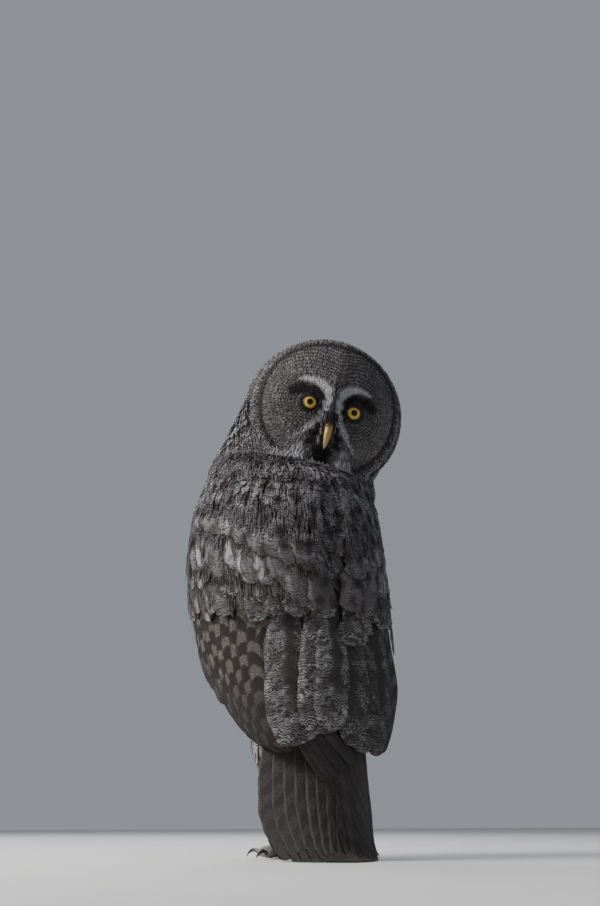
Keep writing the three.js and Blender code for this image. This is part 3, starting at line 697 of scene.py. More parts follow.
def scattered(weight, spacing):
    """Random places of the skin about a spacing apart, where the weight of the polygon allows them."""
    corners = np.vstack([f[:, [0, 1, 2]] for f in skin_faces]
                        + [f[:, [0, 2, 3]] for f in skin_faces if f.shape[1] == 4])
    a, b, c = (skin_points[corners[:, k]] for k in range(3))
    area = np.linalg.norm(np.cross(b - a, c - a), axis=1) / 2 * (weight[corners[:, 0]] > 0)
    total = area.sum()
    many = int(total / spacing ** 2 * 7)
    pick = rng.choice(len(corners), many, p=area / total)
    s, t = rng.uniform(0, 1, (2, many))
    over = s + t > 1
    s[over], t[over] = 1 - s[over], 1 - t[over]
    place = a[pick] + (b[pick] - a[pick]) * s[:, None] + (c[pick] - a[pick]) * t[:, None]
    kept, cells = [], {}
    limit = spacing ** 2 * 0.72
    grid = np.floor(place / spacing).astype(int).tolist()
    for i, (p, (x, y, z)) in enumerate(zip(place.tolist(), grid)):
        near = (q for dx in (-1, 0, 1) for dy in (-1, 0, 1) for dz in (-1, 0, 1)
                for q in cells.get((x + dx, y + dy, z + dz), ()))
        if all((p[0] - q[0]) ** 2 + (p[1] - q[1]) ** 2 + (p[2] - q[2]) ** 2 > limit for q in near):
            cells.setdefault((x, y, z), []).append(p)
            kept.append(i)
    return place[kept]


def lie(points, part):
    """Direction in which the feathers lie at places of the skin."""
    right, forward, up = head_place(points).T
    from_eye = unit(stack(np.sign(right) * (np.abs(right) - EYE_APART / 2), 0, up - EYE_HEIGHT))
    from_bill = unit(stack(right * 1.5, 0, up + 14))
    on_face = unit(mix(from_eye, from_bill, bump(right, 17)[:, None])) @ HEAD_AXES
    crown = step_up(points[:, 2], 540, 640)[:, None]
    behind = -head_forward * crown + DOWN * (1.1 - crown)
    face = step_up(forward - rim_forward(face_angle(right, up)), -24, 3)[:, None]
    direction = np.where((part == HEAD_PART)[:, None], mix(behind, on_face, face), DOWN)
    foot = part == FOOT_PART
    axis = stack(leg_middle(np.sign(points[:, 0] - LEG_MIDDLE)), LEG_PLACE, points[:, 2])
    direction[foot] = (unit(points - axis) * [1, 1, 0] + DOWN / 4)[foot]
    return unit(direction)


def turned(direction, normal, spread):
    """Directions turned about the normals by random angles of this spread in degrees."""
    a = np.radians(rng.normal(0, spread, len(direction)))[:, None]
    return direction * np.cos(a) + np.cross(normal, direction) * np.sin(a)


def tufts(coat, roots, length, width, thickness, profile=HAIR_PROFILE, stations=HAIR, columns=THREE,
          unwrap=unwrapped, spread=9, rise=1.0, steps=3, slant=0.0, camber=0.0, ragged=0.0, kind=None,
          heading=None, base=0.0, power=0.5, uneven=0.07):
    """Feathers that lie on the skin from their roots, tips at the coat's depth."""
    _, normal, deep, part = nearest(roots)
    direction = lie(roots, part) if heading is None else heading
    direction = turned(unit(direction - dot(direction, normal) * normal), normal, spread)
    paths, normals = walk(roots, direction, length, steps)
    out = unit(resampled(normals, stations))
    rise = np.reshape(rise, (-1, 1))
    shape = base + (rise - base) * stations[None] ** np.reshape(power, (-1, 1))
    height = deep[:, None] * shape * rng.uniform(1 - uneven, 1 + uneven, (len(roots), 1)) - 0.4
    centre = resampled(paths, stations) + out * height[..., None]
    coat.add(centre, out, width, profile, stations, columns, thickness, unwrap(roots), length, slant, camber,
             ragged, kind)


# Materials
class Value:
    """Output of a node. Its sums, products and steps are new nodes."""

    def __init__(self, paint, socket):
        self.paint, self.socket = paint, socket

    def __add__(self, other):
        return self.paint.math("ADD", self, other)

    def __sub__(self, number):
        return self + -number

    def __mul__(self, other):
        return self.paint.math("MULTIPLY", self, other)

    def __abs__(self):
        return self.paint.math("ABSOLUTE", self)

    def rise(self, low, high):
        """Smooth step from 0 at low to 1 at high."""
        flip = high < low
        ends = {"From Min": min(low, high), "From Max": max(low, high), "To Min": float(flip),
                "To Max": float(not flip)}
        return self.paint.node("MapRange", {"Value": self, **ends}, "Result", interpolation_type="SMOOTHSTEP")

    def wave(self, period):
        return self.paint.math("SINE", self * (2 * math.pi / period))


class Paint:
    """Node material with short calls for the nodes it needs."""

    def __init__(self, name, roughness, sheen=0.0, coat=0.0, specular=0.2):
        self.material = bpy.data.materials.new(name)
        self.material.use_nodes = True
        self.tree = self.material.node_tree
        self.shader = self.tree.nodes["Principled BSDF"]
        for label, value in (("Roughness", roughness), ("Specular IOR Level", specular),
                             ("Sheen Weight", sheen), ("Coat Weight", coat)):
            self.shader.inputs[label].default_value = value

    def put(self, value, socket):
        if isinstance(value, Value):
            self.tree.links.new(value.socket, socket)
        elif isinstance(value, tuple):
            socket.default_value = (*value, 1.0)[:len(socket.default_value)]
        else:
            socket.default_value = value

    def node(self, kind, inputs, output=0, **settings):
        """Output of a new node with these inputs and settings."""
        made = self.tree.nodes.new("ShaderNode" + kind)
        for label, value in settings.items():
            setattr(made, label, value)
        for label, value in inputs.items():
            self.put(value, made.inputs[label])
        return Value(self, made.outputs[output])

    def math(self, operation, a, b=0.0):
        return self.node("Math", {0: a, 1: b}, operation=operation)

    def vector(self, name):
        return self.node("Attribute", {}, "Vector", attribute_name=name)

    def split(self, vector):
        outputs = self.node("SeparateXYZ", {0: vector}).socket.node.outputs
        return [Value(self, socket) for socket in outputs]

    def axes(self, name):
        return self.split(self.vector(name))

    def join(self, x, y=0.0, z=0.0):
        return self.node("CombineXYZ", {0: x, 1: y, 2: z})

    def noise(self, vector, scale, detail=2.0, stretch=None):
        if stretch:
            vector = self.node("VectorMath", {0: vector, 1: stretch}, operation="MULTIPLY")
        return self.node("TexNoise", {"Vector": vector, "Scale": scale, "Detail": detail}, "Fac")

    def wander(self, vector, scale, size, detail=2.0):
        """Noise of this size about zero."""
        return (self.noise(vector, scale, detail) - 0.5) * size

    def cells(self, x, y, width, height):
        """Distance from the middle of scattered cells of this size."""
        place = self.join(x * (1 / width), y * (1 / height))
        return self.node("TexVoronoi", {"Scale": 1.0, "Randomness": 0.62, "Vector": place}, "Distance",
                         voronoi_dimensions="2D")

    def mix(self, share, a, b):
        return self.node("Mix", {0: share, 6: a, 7: b}, 2, data_type="RGBA")

    def scaled(self, colour, factor):
        return self.node("VectorMath", {0: colour, "Scale": factor}, operation="SCALE")

    def bump(self, height, strength, distance):
        relief = self.node("Bump", {"Strength": strength, "Distance": distance, "Height": height})
        self.put(relief, self.shader.inputs["Normal"])

    def finish(self, colour):
        self.put(colour, self.shader.inputs["Base Color"])
        return self.material


class Plumage(Paint):
    """Paint of a feather, with its own coordinates in millimetres, barbs and chance lightness."""

    def __init__(self, name, roughness=0.85, sheen=0.03, barbs=0.12, uneven=0.24):
        super().__init__(name, roughness, sheen)
        self.barbs, self.uneven = barbs, uneven
        self.vane = self.vector("Vane")
        self.x, self.y, self.seed = self.split(self.vane)
        self.side, self.t, self.kind = self.axes("Form")
        self.wide = abs(self.x)
        self.chance = self.noise(self.join(self.seed), 3.1, 0.0).rise(0.3, 0.7)

    def feather(self, colour):
        """Adds barbs and chance lightness to a colour, and finishes the paint."""
        barb = (self.y + self.wide * -0.8 + self.noise(self.vane, 0.5) * 1.5).wave(1.3)
        self.bump(barb, 0.35, 0.0004)
        light = barb * self.barbs + (1 - self.uneven / 2) + self.chance * self.uneven
        return self.finish(self.scaled(colour, light))


PALE_GREY = (0.30, 0.288, 0.297)
DARK_GREY = (0.066, 0.060, 0.062)
# Colour of the painted shade lower down the back.
LOW_SHADE_GREY = (0.068, 0.060, 0.060)
DARK_BROWN = (0.034, 0.026, 0.023)
BLACK_BROWN = (0.016, 0.014, 0.014)
OFF_WHITE = (0.50, 0.49, 0.505)
BODY_ROUND = 115.0


def around_body(p):
    """Distance round the body from the middle of the back, and height, in millimetres."""
    x, y, z = p.axes("Body")
    return p.math("ARCTAN2", x, y) * BODY_ROUND, z


def wavy_lines(p, x, z, period, low=-0.3, high=0.5):
    """Fine wavy lines like a fingerprint, broken in places."""
    flat = p.join(x, z)
    lines = (z + p.wander(flat, 0.05, 26.0) + p.wander(flat, 0.24, 7.0)).wave(period).rise(low, high)
    return lines * p.noise(flat, 0.11, 3.0).rise(0.3, 0.48)


def mantle_colour(p, period=3.7, spots=0.9, size=(20.0, 31.0), cloud=0.6):
    """Pale grey with fine wavy lines and soft dark spots, carried across the feathers, with painted shade
    darker lower down.
    """
    x, z = around_body(p)
    flat = p.join(x, z)
    colour = p.mix(wavy_lines(p, x, z, period), PALE_GREY, DARK_GREY)
    colour = p.mix(p.noise(flat, 0.026, 3.0).rise(0.42, 0.62) * cloud, colour, DARK_GREY)
    # Painted shade: darker lower down the back, from 430 mm to 300 mm.
    colour = p.mix(z.rise(430.0, 300.0) * 0.7, colour, LOW_SHADE_GREY)
    spot = p.cells(x, z, *size) + p.wander(flat, 0.3, 0.5, 3.0) + p.wander(flat, 0.045, 0.6)
    return p.mix(spot.rise(0.42, 0.1) * spots, colour, DARK_BROWN)


def streaked_colour(p, pale, dark, size, bars):
    """Pale breast with long dark streaks and faint bars across."""
    x, z = around_body(p)
    colour = p.mix(wavy_lines(p, x, z, 6.0) * bars, pale, dark)
    streak = p.cells(x, z, *size) + p.wander(p.join(x, z), 0.2, 0.4, 3.0)
    return p.mix(streak.rise(0.36, 0.14) * 0.85, colour, dark)


def mantle_paint(name, **settings):
    p = Plumage(name, barbs=0.05, uneven=0.1)
    return p.feather(mantle_colour(p, **settings))


def streaked_paint(name, *settings):
    p = Plumage(name, barbs=0.07)
    return p.feather(streaked_colour(p, *settings))


def barred_paint(name, pale, dark, period=30.0, share=0.2, mottle=0.5, edge=-0.7, step=10.0, contrast=1.0,
                 inner=0.6, bend_middle=11.0):
    """Flight feather in broad blocks with rounded upper ends, mottled inside and towards the tip; a positive
    edge gives a pale outer margin, a negative one a painted shadow line along it.
    """
    p = Plumage(name, 0.75, 0.02, 0.08)
    off = p.x - bend_middle
    along = off * off * -0.09 + (p.kind * step + p.chance * (period * 0.35))
    bars = (p.y + p.wander(p.vane, 0.1, 12.0) + along).wave(period).rise(share - 0.3, share + 0.3)
    fine = p.noise(p.vane, 0.55, 3.0).rise(0.42, 0.56)
    light = p.mix(fine * mottle, pale, dark)
    bars = p.mix(p.t.rise(0.5, 0.75), bars, bars * 0.4 + (fine - 0.3) * 0.45)
    colour = p.mix(bars * contrast, dark, light)
    colour = p.mix(p.noise(p.vane, 0.07).rise(0.35, 0.6) * 0.2, colour, p.mix(0.3, dark, light))
    colour = p.mix(p.side.rise(-0.3, 0.15), p.mix(inner, colour, dark), colour)
    # Outer margin: pale when edge is positive; when negative, as on the secondaries, a dark painted shadow
    # line along the edge that overlies the next feather.
    colour = p.mix(p.side.rise(0.8, 0.95) * abs(edge), colour, pale if edge > 0 else dark)
    return p.feather(p.mix(p.wide.rise(0.9, 0.3) * 0.5, colour, BLACK_BROWN))


def tertial_paint(name, pale, shade):
    """Broad tertial: pale webs with wavy dark lines, a smooth dark middle and faint dark arcs."""
    p = Plumage(name, 0.75, 0.02, 0.06)
    x, z = around_body(p)
    speckle = p.noise(p.vane, 0.7, 3.0).rise(0.4, 0.6)
    fine = wavy_lines(p, x, z, 3.4, low=-0.75, high=0.25)
    web = p.mix(fine * 0.92, p.mix(speckle * 0.3, pale, shade), (0.024, 0.020, 0.019))
    wander = p.wander(p.vane, 0.06, 22.0, 3.0)
    middle = abs(p.x + 4.0 + wander).rise(11.0, 3.0) * p.t.rise(0.86, 0.62)
    colour = p.mix(middle * 0.92, web, shade)
    place = p.y + p.x * p.x * -0.03 + (p.kind * 17.0 + wander)
    arc = place.wave(34.0).rise(0.5, 0.95) * p.noise(p.vane, 0.09).rise(0.35, 0.6)
    colour = p.mix(arc * 0.75, colour, (0.022, 0.018, 0.017))
    return p.feather(p.mix(p.noise(p.vane, 0.05).rise(0.38, 0.62) * 0.65, colour, shade))


def covert_paint():
    """Soft brown covert, streaked lengthwise, with a long pale drop at the tip."""
    p = Plumage("covert_feathers", barbs=0.08)
    streaks = p.noise(p.vane, 0.35, 3.0, stretch=(1.0, 0.22, 1.0)).rise(0.4, 0.62)
    colour = p.mix(streaks, (0.024, 0.020, 0.018), (0.072, 0.063, 0.060))
    colour = p.mix(wavy_lines(p, *around_body(p), 4.6) * 0.3, colour, (0.13, 0.12, 0.118))
    drop = abs(p.x - 2.0).rise(5.5, 1.5) * p.t.rise(0.6, 0.88) * p.noise(p.vane, 0.12).rise(0.36, 0.5)
    return p.feather(p.mix(drop * 0.85, colour, (0.28, 0.265, 0.26)))


def scapular_paint():
    """Scapular like the mantle, with a whitish outer web on a few."""
    p = Plumage("scapular_feathers", barbs=0.07)
    colour = mantle_colour(p, spots=0.8)
    broken = p.noise(p.vane, 0.3, 3.0, stretch=(1.0, 0.35, 1.0)).rise(0.34, 0.56)
    web = p.side.rise(0.2, 0.42) * p.side.rise(0.95, 0.72) * p.t.rise(0.15, 0.4) * p.t.rise(0.97, 0.8)
    return p.feather(p.mix(web * broken * p.kind, colour, (0.38, 0.37, 0.38)))


# Wings
WING_SUNK = -2.6
WISPS_A_WING = 3000
FLIGHT_FORM = (LONG, FLIGHT_PROFILE, NINE)
COVERT_FORM = (SHORT, COVERT_PROFILE, SEVEN)


def run(first, last=None):
    """Straight run between the values at 0 and 1, or one value throughout."""
    last = first if last is None else last
    return lambda place: mix(first, last, np.clip(place, 0, 1))


def tier(row, form=COVERT_FORM, **sizes):
    """Sizes of a tier of feathers by their place along the wing, from a value, a pair or a function."""
    made = {name: size if callable(size) else run(*np.atleast_1d(size)) for name, size in sizes.items()}
    return dict(made, row=row, form=form)


def wing_vanes(coat, side, places, sizes, tilt=0.14, ragged=0.06, kinds=None, spread=1.0):
    """Feathers of one tier, rooted under the one above and lying down the cloak."""
    places = np.linspace(0, 1, places) if isinstance(places, int) else np.array(places)
    n = len(places)
    stations, profile, columns = sizes["form"]
    first = sizes["angle"](places) + rng.normal(0, 0.4 * spread, n)
    last = first - sizes["lean"](places) + rng.normal(0, 0.4 * spread, n)
    low = sizes["tip"](places) + rng.normal(0, 1.5 * spread, n)
    lift = sizes["lift"](places) + rng.uniform(-0.25, 0.25, n)
    t = stations[None]
    angle = side * mix(first[:, None], last[:, None], t)
    z = mix(sizes["root"](places)[:, None], low[:, None], t)
    height = mix(WING_SUNK, lift[:, None], np.sin(np.minimum(t / 0.8, 1) * np.pi / 2))
    centre = lifted_point(CLOAK, angle, z, height)
    length = np.linalg.norm(np.diff(centre, axis=1), axis=2).sum(1)
    kind = np.arange(n, dtype=float) if kinds is None else np.array(kinds, float)
    coat.add(centre, oval_normal(CLOAK, angle, z), sizes["width"](places), profile, stations, columns, 0.9,
             unwrapped_row(n, sizes["row"]), length, slant=0.22, camber=0.0042, ragged=ragged, kind=kind,
             sign=side, tilt=tilt)


PRIMARIES = tier(0.05, FLIGHT_FORM, angle=(24, 46), root=(182, 176), lean=(33, 31), width=18, lift=(-1.6, -1),
                 tip=through((0, 101), (0.5, 91), (1, 84)))
LEFT_FLIGHT = tier(
    0.2, FLIGHT_FORM, angle=through((0, 4), (0.1, 15), (0.2, 31), (0.3, 45), (1, 97)), root=(292, 318),
    tip=through((0, 141), (0.1, 130), (0.2, 124), (0.4, 120), (0.6, 128), (0.8, 152), (1, 203)),
    lean=through((0, -2), (0.2, -5), (0.4, -6), (1, 0)),
    width=through((0, 46), (0.06, 54), (0.2, 58), (0.3, 36), (1, 30)),
    lift=through((0, 4.6), (0.3, 3.6), (1, 3)))
RIGHT_FLIGHT = tier(
    0.2, FLIGHT_FORM, angle=through((0, 7), (0.1, 20), (0.2, 33), (0.3, 44), (1, 97)), root=(292, 318),
    tip=through((0, 122), (0.1, 117), (0.2, 114), (0.3, 117), (0.45, 129), (0.6, 146), (0.8, 178), (1, 238)),
    lean=through((0, 1), (0.2, 3), (0.4, 0), (1, 0)), width=through((0, 40), (0.2, 38), (0.3, 29), (1, 25)),
    lift=through((0, 2.6), (0.1, 3.6), (0.3, 3.6), (1, 3)))
LEFT_PAINTS = (barred_paint("secondary_feathers", (0.142, 0.119, 0.106), (0.017, 0.013, 0.012), mottle=0.55),
               tertial_paint("tertial_feathers", (0.31, 0.297, 0.30), (0.036, 0.031, 0.030)))
# Painted shade: the right wing's secondary and tertial paints are darker copies of the left wing's, as that
# wing lies in shade.
SHADED_RIGHT_PAINTS = (barred_paint("right_secondary_feathers_painted_shade", (0.12, 0.103, 0.093), (0.018, 0.015, 0.014)),
                tertial_paint("right_tertial_feathers_painted_shade", (0.16, 0.151, 0.152), (0.027, 0.023, 0.022)))
primary_paint = barred_paint("primary_feathers", (0.07, 0.063, 0.061), (0.032, 0.028, 0.027), share=0.35,
                             mottle=0.4, edge=0.35, step=13.0, contrast=0.4, inner=0.1)
covert_feathers = covert_paint()
tertial_coverts = tertial_paint("tertial_covert_feathers", (0.28, 0.268, 0.27), (0.040, 0.034, 0.033))
mantle_feathers = mantle_paint("mantle_feathers")
scapular_feathers = scapular_paint()
WHITE_WEBS = {"left": [0, 0, 0, 0, 0.1, 0.8, 0.1, 0.9, 0.8, 0.1, 0.1, 0.9, 0.1],
              "right": [0, 0, 0, 0.1, 0.1, 0.7, 0.1, 0.7, 0.6, 0.1, 0.1, 0.6, 0.1]}


def long_scapulars(inset):
    return tier(0.88, angle=through((0, inset + 10), (0.5, 46), (1, 88)), lean=4, width=(35, 30),
                root=through((0, 344), (0.5, 388), (1, 416)), tip=through((0, 282), (0.5, 310), (1, 342)),
                lift=(7.2, 6.2))


def wing_pieces(wing, flight, inset, paints):
    """Name, material and tiers of each piece of a wing: places, sizes and settings."""
    under = dict(flight, lift=lambda place: flight["lift"](place) - 3.4)
    lower = dict(under, tip=lambda place: flight["tip"](place) + 12)
    outer = np.linspace(0.3, 1.04, 11)[::-1]
    near = tier(0.42, angle=(inset + 5, 58), root=318, tip=(260, 276), lean=1, width=30, lift=5.2)
    greater = tier(0.35, angle=(inset + 12, 99), root=(335, 350), tip=(276, 292), lean=2, width=(27, 22),
                   lift=(5, 4.2))
    median = tier(0.5, angle=(inset + 24, 101), root=(366, 380), tip=(312, 326), lean=2, width=(25, 21),
                  lift=(5, 4.6))
    lesser = [tier(0.58 + 0.06 * k, angle=(inset + 34 + 3 * k, 103), root=392 + 15 * k, tip=348 + 17 * k,
                   lean=2, width=20 - k, lift=5 - 0.7 * k) for k in range(5)]
    short_scapulars = tier(0.93, angle=through((0, inset + 14), (0.5, 50), (1, 86)), lean=4, width=(34, 28),
                           root=through((0, 376), (0.5, 412), (1, 436)),
                           tip=through((0, 326), (0.5, 358), (1, 392)), lift=(7, 6))
    yield "secondaries", paints[0], [(np.linspace(0.24, 1.06, 13), under, {}),
                                     (outer, flight, {"kinds": range(10, -1, -1)})]
    yield "tertials", paints[1], [([0.17, 0.06], lower, {"kinds": [0.9, 2.2]}),
                                  ([0.19, 0.06, 0.0], flight, {"kinds": [0.4, 1.7, 3.1], "tilt": 0.09})]
    if wing == "left":
        yield "primaries", primary_paint, [(5, PRIMARIES, {})]
    yield "tertial_coverts", tertial_coverts, [(9, near, {"ragged": 0.35, "spread": 9})]
    yield "coverts", covert_feathers, [(19, greater, {"ragged": 0.2, "spread": 6}),
                                       (17, median, {"ragged": 0.16, "spread": 4}),
                                       *[(16, row, {"ragged": 0.18, "spread": 3}) for row in lesser]]
    yield "scapulars", scapular_feathers, [
        (13, long_scapulars(inset), {"ragged": 0.16, "spread": 4, "kinds": WHITE_WEBS[wing]}),
        (13, short_scapulars, {"ragged": 0.18, "spread": 4, "kinds": [0] * 13})]


def wing_wisps(wing, side, inset, count=WISPS_A_WING):
    """Fine soft strands, those over the scapulars and those over the coverts."""
    place = rng.uniform(0, 1.13, count)
    first = inset + 6 + place * (94 - inset)
    edge = 288 + 14 * place + 9 * np.sin(place * 31 + side) + 5 * np.sin(place * 74)
    z = rng.uniform(edge + rng.uniform(-4, 8, count), 462, count)
    over_scapulars = z > long_scapulars(inset)["tip"](place) + 6
    for label, part, lift, material in (("scapular", over_scapulars, 7.3, mantle_feathers),
                                        ("covert", ~over_scapulars, 5.4, covert_feathers)):
        n = int(part.sum())
        lift = lift - 4.5 * step_up(z[part], 425, 462)[:, None]
        length = sized(n, 17, 0.35)
        angle = side * (first[part, None] + rng.uniform(-1.4, 1.4, (n, 1)) * HAIR)
        down = z[part, None] - length[:, None] * HAIR
        centre = lifted_point(CLOAK, angle, down, lift - 1.7 + rng.uniform(1.3, 2.1, (n, 1)) * HAIR ** 0.6)
        coat = Coat()
        coat.add(centre, oval_normal(CLOAK, angle, down), sized(n, 1.35, 0.25), HAIR_PROFILE, HAIR, THREE,
                 0.5, unwrapped(centre[:, 0]), length)
        coat.piece(f"wing_{wing}_{label}_wisps", material, "wing_feathers")


for wing, side, flight, inset, paints in (("left", 1, LEFT_FLIGHT, 0, LEFT_PAINTS),
                                          ("right", -1, RIGHT_FLIGHT, 4, SHADED_RIGHT_PAINTS)):
    for label, material, tiers in wing_pieces(wing, flight, inset, paints):
        coat = Coat()
        for places, sizes, settings in tiers:
            wing_vanes(coat, side, places, sizes, **settings)
        made = coat.piece(f"wing_{wing}_{label}", material, "wing_feathers")
        if label == "secondaries":
            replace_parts(made, f"wing_{wing}")
    wing_wisps(wing, side, inset)

# Tail
TAIL_COUNT = 12
TAIL_ROOT = 0.16
TAIL_LENGTH = 240.0
tail_line = catmull([(6, 92, 214), (6, 105, 165), (10, 115, 118), (9, 125, 72), (9, 133, 36), (10, 143, 12),
                     (11, 158, 2), (12, 180, 0.5)])
tail_width = through((0, 38), (0.25, 68), (0.45, 70), (0.6, 60), (0.75, 49), (0.9, 39), (1, 32))
tail_arch = through((0, 12), (0.25, 28), (0.45, 38), (0.65, 22), (0.85, 4), (1, 0))


def tail_point(v, across, height):
    along = tangent(tail_line, v)
    out = unit(stack(0, -along[..., 2], along[..., 1]))
    point = tail_line(v) + out * (height - tail_arch(v) * across ** 2)[..., None]
    return point + stack(tail_width(v) * across, 0, 0)


def tail_feathers():
    coat = Coat()
    stations = np.concatenate([np.linspace(0, 0.9, 34), [0.93, 0.96, 0.98, 0.99, 1.0]])
    side = np.linspace(-1, 1, TAIL_COUNT)
    end = 1 - 0.3 * side ** 2 + rng.uniform(-0.012, 0.012, TAIL_COUNT)
    v = mix(TAIL_ROOT, end[:, None], stations)
    across = side[:, None] * mix(0.84, 0.93, stations)
    over = 1.2 * (1 - np.abs(side))[:, None]
    height = mix(-2.6, over, np.minimum(stations / 0.2, 1)) * (1 - stations ** 6) + 0.9
    centre = tail_point(v, across, height)
    sideways = tail_point(v, across + 0.02, height) - tail_point(v, across - 0.02, height)
    out = unit(np.cross(unit(sideways), along_paths(centre)))
    out = np.where(out[..., 1:2] < 0, -out, out)
    width = 33 * rng.uniform(0.94, 1.04, TAIL_COUNT)
    bake = unwrapped_row(TAIL_COUNT, 0.5)
    for i in range(TAIL_COUNT):
        one = slice(i, i + 1)
        coat.add(centre[one], out[one], width[one], FLIGHT_PROFILE, stations, NINE, 0.6, bake[one],
                 np.array([TAIL_LENGTH]), slant=0.25, camber=0.001, ragged=0.04, kind=np.array([i * 0.6]),
                 sign=1 if side[i] > 0 else -1, tilt=0.03)
    paint = barred_paint("tail_feathers", (0.095, 0.085, 0.08), (0.036, 0.030, 0.028), 29.0, share=0.0,
                         mottle=0.8, edge=0.3, step=0.0, contrast=0.5, inner=0.1, bend_middle=4.0)
    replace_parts(coat.piece("tail_feathers", paint, "tail_feathers"), "tail")


tail_feathers()

# Marks of the head, shared by the skin and the feathers
def along_line(right, up, line):
    """1 on a soft line of (right, up, half width) points, 0 beyond its edge."""
    best = np.full(len(right), -9.0)
    for r, u, w in catmull(line)(np.linspace(0, 1, 36)):
        best = np.maximum(best, 1 - np.hypot(right - r, up - u) / w)
    return step_up(best, -0.1, 0.6)


BROW_LINE = [(50, 37, 2), (40, 39, 4.5), (29, 39, 6.5), (17, 34, 8), (11, 25, 8), (10, 15, 7), (10, 4, 6.5),
             (14, -7, 5.5), (20, -17, 4.5), (27, -26, 3.5), (35, -35, 2.5), (44, -43, 1.5)]
THROAT_LINE = [(30, -48, 6), (30, -58, 11), (26, -68, 11), (22, -80, 7)]
BLACK_LINES = [
    [(20, -2, 4), (17, 8, 5), (19, 18, 7), (27, 25, 8), (36, 25, 10), (46, 22, 11), (54, 19, 8)],
    [(7, -13, 4), (11, -22, 6), (15, -32, 8), (19, -42, 7)],
    [(6, -46, 9), (3, -58, 13), (2, -72, 15), (0, -88, 15)],
]
RIDGE_LINE = [(0, -10, 3.5), (0, 14, 3), (0, 34, 3.5), (0, 54, 4)]


def from_eye(right, up):
    return np.hypot(np.abs(right) - EYE_APART / 2, up - EYE_HEIGHT)


def face_marks(points):
    """How white, how black and how ringed the face is at each place."""
    right, _, up = head_place(points).T
    right = np.abs(right)
    face = face_share(points)
    wander = 1.6 * np.sin(0.41 * up + 2.1 * np.sin(0.23 * right)) + rng.normal(0, 1.0, len(points))
    white = np.maximum(along_line(right + wander, up, BROW_LINE),
                       0.72 * along_line(right, up + wander, THROAT_LINE))
    far = from_eye(right, up)
    black = np.max([*(along_line(right + wander, up + wander, line) for line in BLACK_LINES),
                    0.6 * along_line(right, up, RIDGE_LINE), 0.95 * bump(past_ruff(right, up), 0.024),
                    0.9 * step_up(-far, -16.5, -12.5)], axis=0)
    below = step_up(-up, -10, 40) * step_up(far, 25, 45)
    beside = step_up(far, 34, 58) * step_up(-up, -60, -44)
    rings = mix(1.0, 0.5, below) * mix(1.0, 0.35, beside)
    black = np.maximum(black, 0.55 * bump(np.hypot(right - 38, (up - 22) * 1.2), 20) * (1 - white))
    return np.stack([white * (1 - 0.9 * black), black, rings], -1) * face[:, None]


def face_colour(p):
    """Fine rings round each eye, white crescents and black patches, as a colour."""
    head = p.vector("Head")
    right, forward, up = p.split(head)
    white, black, rings = p.axes("Mark")
    beside, over = abs(right) - EYE_APART / 2, up - EYE_HEIGHT
    far = p.math("SQRT", beside * beside + over * over)
    wobble = p.wander(head, 0.05, 9.0) + p.wander(head, 0.3, 3.0)
    phase = p.math("LOGARITHM", (far + wobble) * 0.0085 + 1.0, math.e)
    line = phase.wave(0.0285).rise(-0.5, 0.8) * 0.85
    ground = p.mix(p.noise(head, 0.42, 4.0).rise(0.4, 0.6), (0.10, 0.092, 0.092), (0.26, 0.247, 0.25))
    ground = p.mix(p.noise(head, 0.07).rise(0.4, 0.65) * 0.4, ground, (0.075, 0.067, 0.066))
    colour = p.mix(line * rings, ground, (0.055, 0.048, 0.047))
    return p.mix(black, p.mix(white, colour, OFF_WHITE), BLACK_BROWN)


BREAST_COLOURS = ((0.30, 0.285, 0.28), (0.062, 0.052, 0.048), (21.0, 60.0), 0.35)
BELLY_COLOURS = ((0.34, 0.325, 0.315), (0.085, 0.074, 0.068), (19.0, 44.0), 0.7)


def skin_paint():
    p = Paint("skin", 0.9, 0.03)
    on_face = p.axes("Form")[0]
    _, y, z = p.axes("Body")
    body = p.mix(y.rise(-20.0, 20.0), streaked_colour(p, *BREAST_COLOURS), mantle_colour(p))
    body = p.mix(z.rise(150.0, 120.0), p.scaled(body, 0.75), (0.27, 0.252, 0.238))
    p.bump(p.noise(p.vector("Head"), 0.9, 3.0), 0.5, 0.001)
    return p.finish(p.mix(on_face, body, face_colour(p)))


skin_face = disc_share(skin_points) * (skin_part == HEAD_PART)
skin = make_object("skin", skin_points, skin_faces,
                   {"Head": head_place(skin_points), "Mark": face_marks(skin_points), "Body": skin_points,
                    "Form": np.stack([skin_face] * 3, -1)})
dressed(skin, skin_paint())
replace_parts(skin, "torso", "neck", "head", "leg_left", "leg_right", "foot_left", "foot_right")


# Head feathers
BRISTLES = 1350
LID_FEATHERS_A_ROW = 110
# Each row's share of the disc's radius, number and length
RUFF_ROWS = ((-0.03, 380, 6.5), (-0.008, 400, 7.5), (0.016, 400, 8.5))


def head_tufts(coat, roots, length, width, thickness, **settings):
    """Tufts of the head, of (size, chance) in length and width."""
    n = len(roots)
    tufts(coat, roots, sized(n, *length), sized(n, *width), thickness, unwrap=unwrapped_head, **settings)


def lid_opening(around):
    """Distance of the lids' edge from the middle of the eye."""
    brow, under = np.clip(np.cos(around), 0, 1), np.clip(-np.cos(around), 0, 1)
    return 8.1 - 1.7 * brow ** 1.5 - 0.6 * under


def face_paint():
    p = Plumage("face_feathers", barbs=0.05)
    return p.feather(face_colour(p))


def bristle_paint():
    p = Plumage("bill_bristles", barbs=0.04)
    return p.feather(p.mix(p.kind, (0.02, 0.018, 0.018), (0.30, 0.29, 0.29)))


def ruff_paint():
    p = Plumage("ruff_feathers", barbs=0.08)
    spots = p.noise(p.vane, 0.45).rise(0.5, 0.6) * p.t.rise(0.72, 0.9)
    return p.feather(p.mix(spots, (0.022, 0.017, 0.015), (0.14, 0.125, 0.118)))


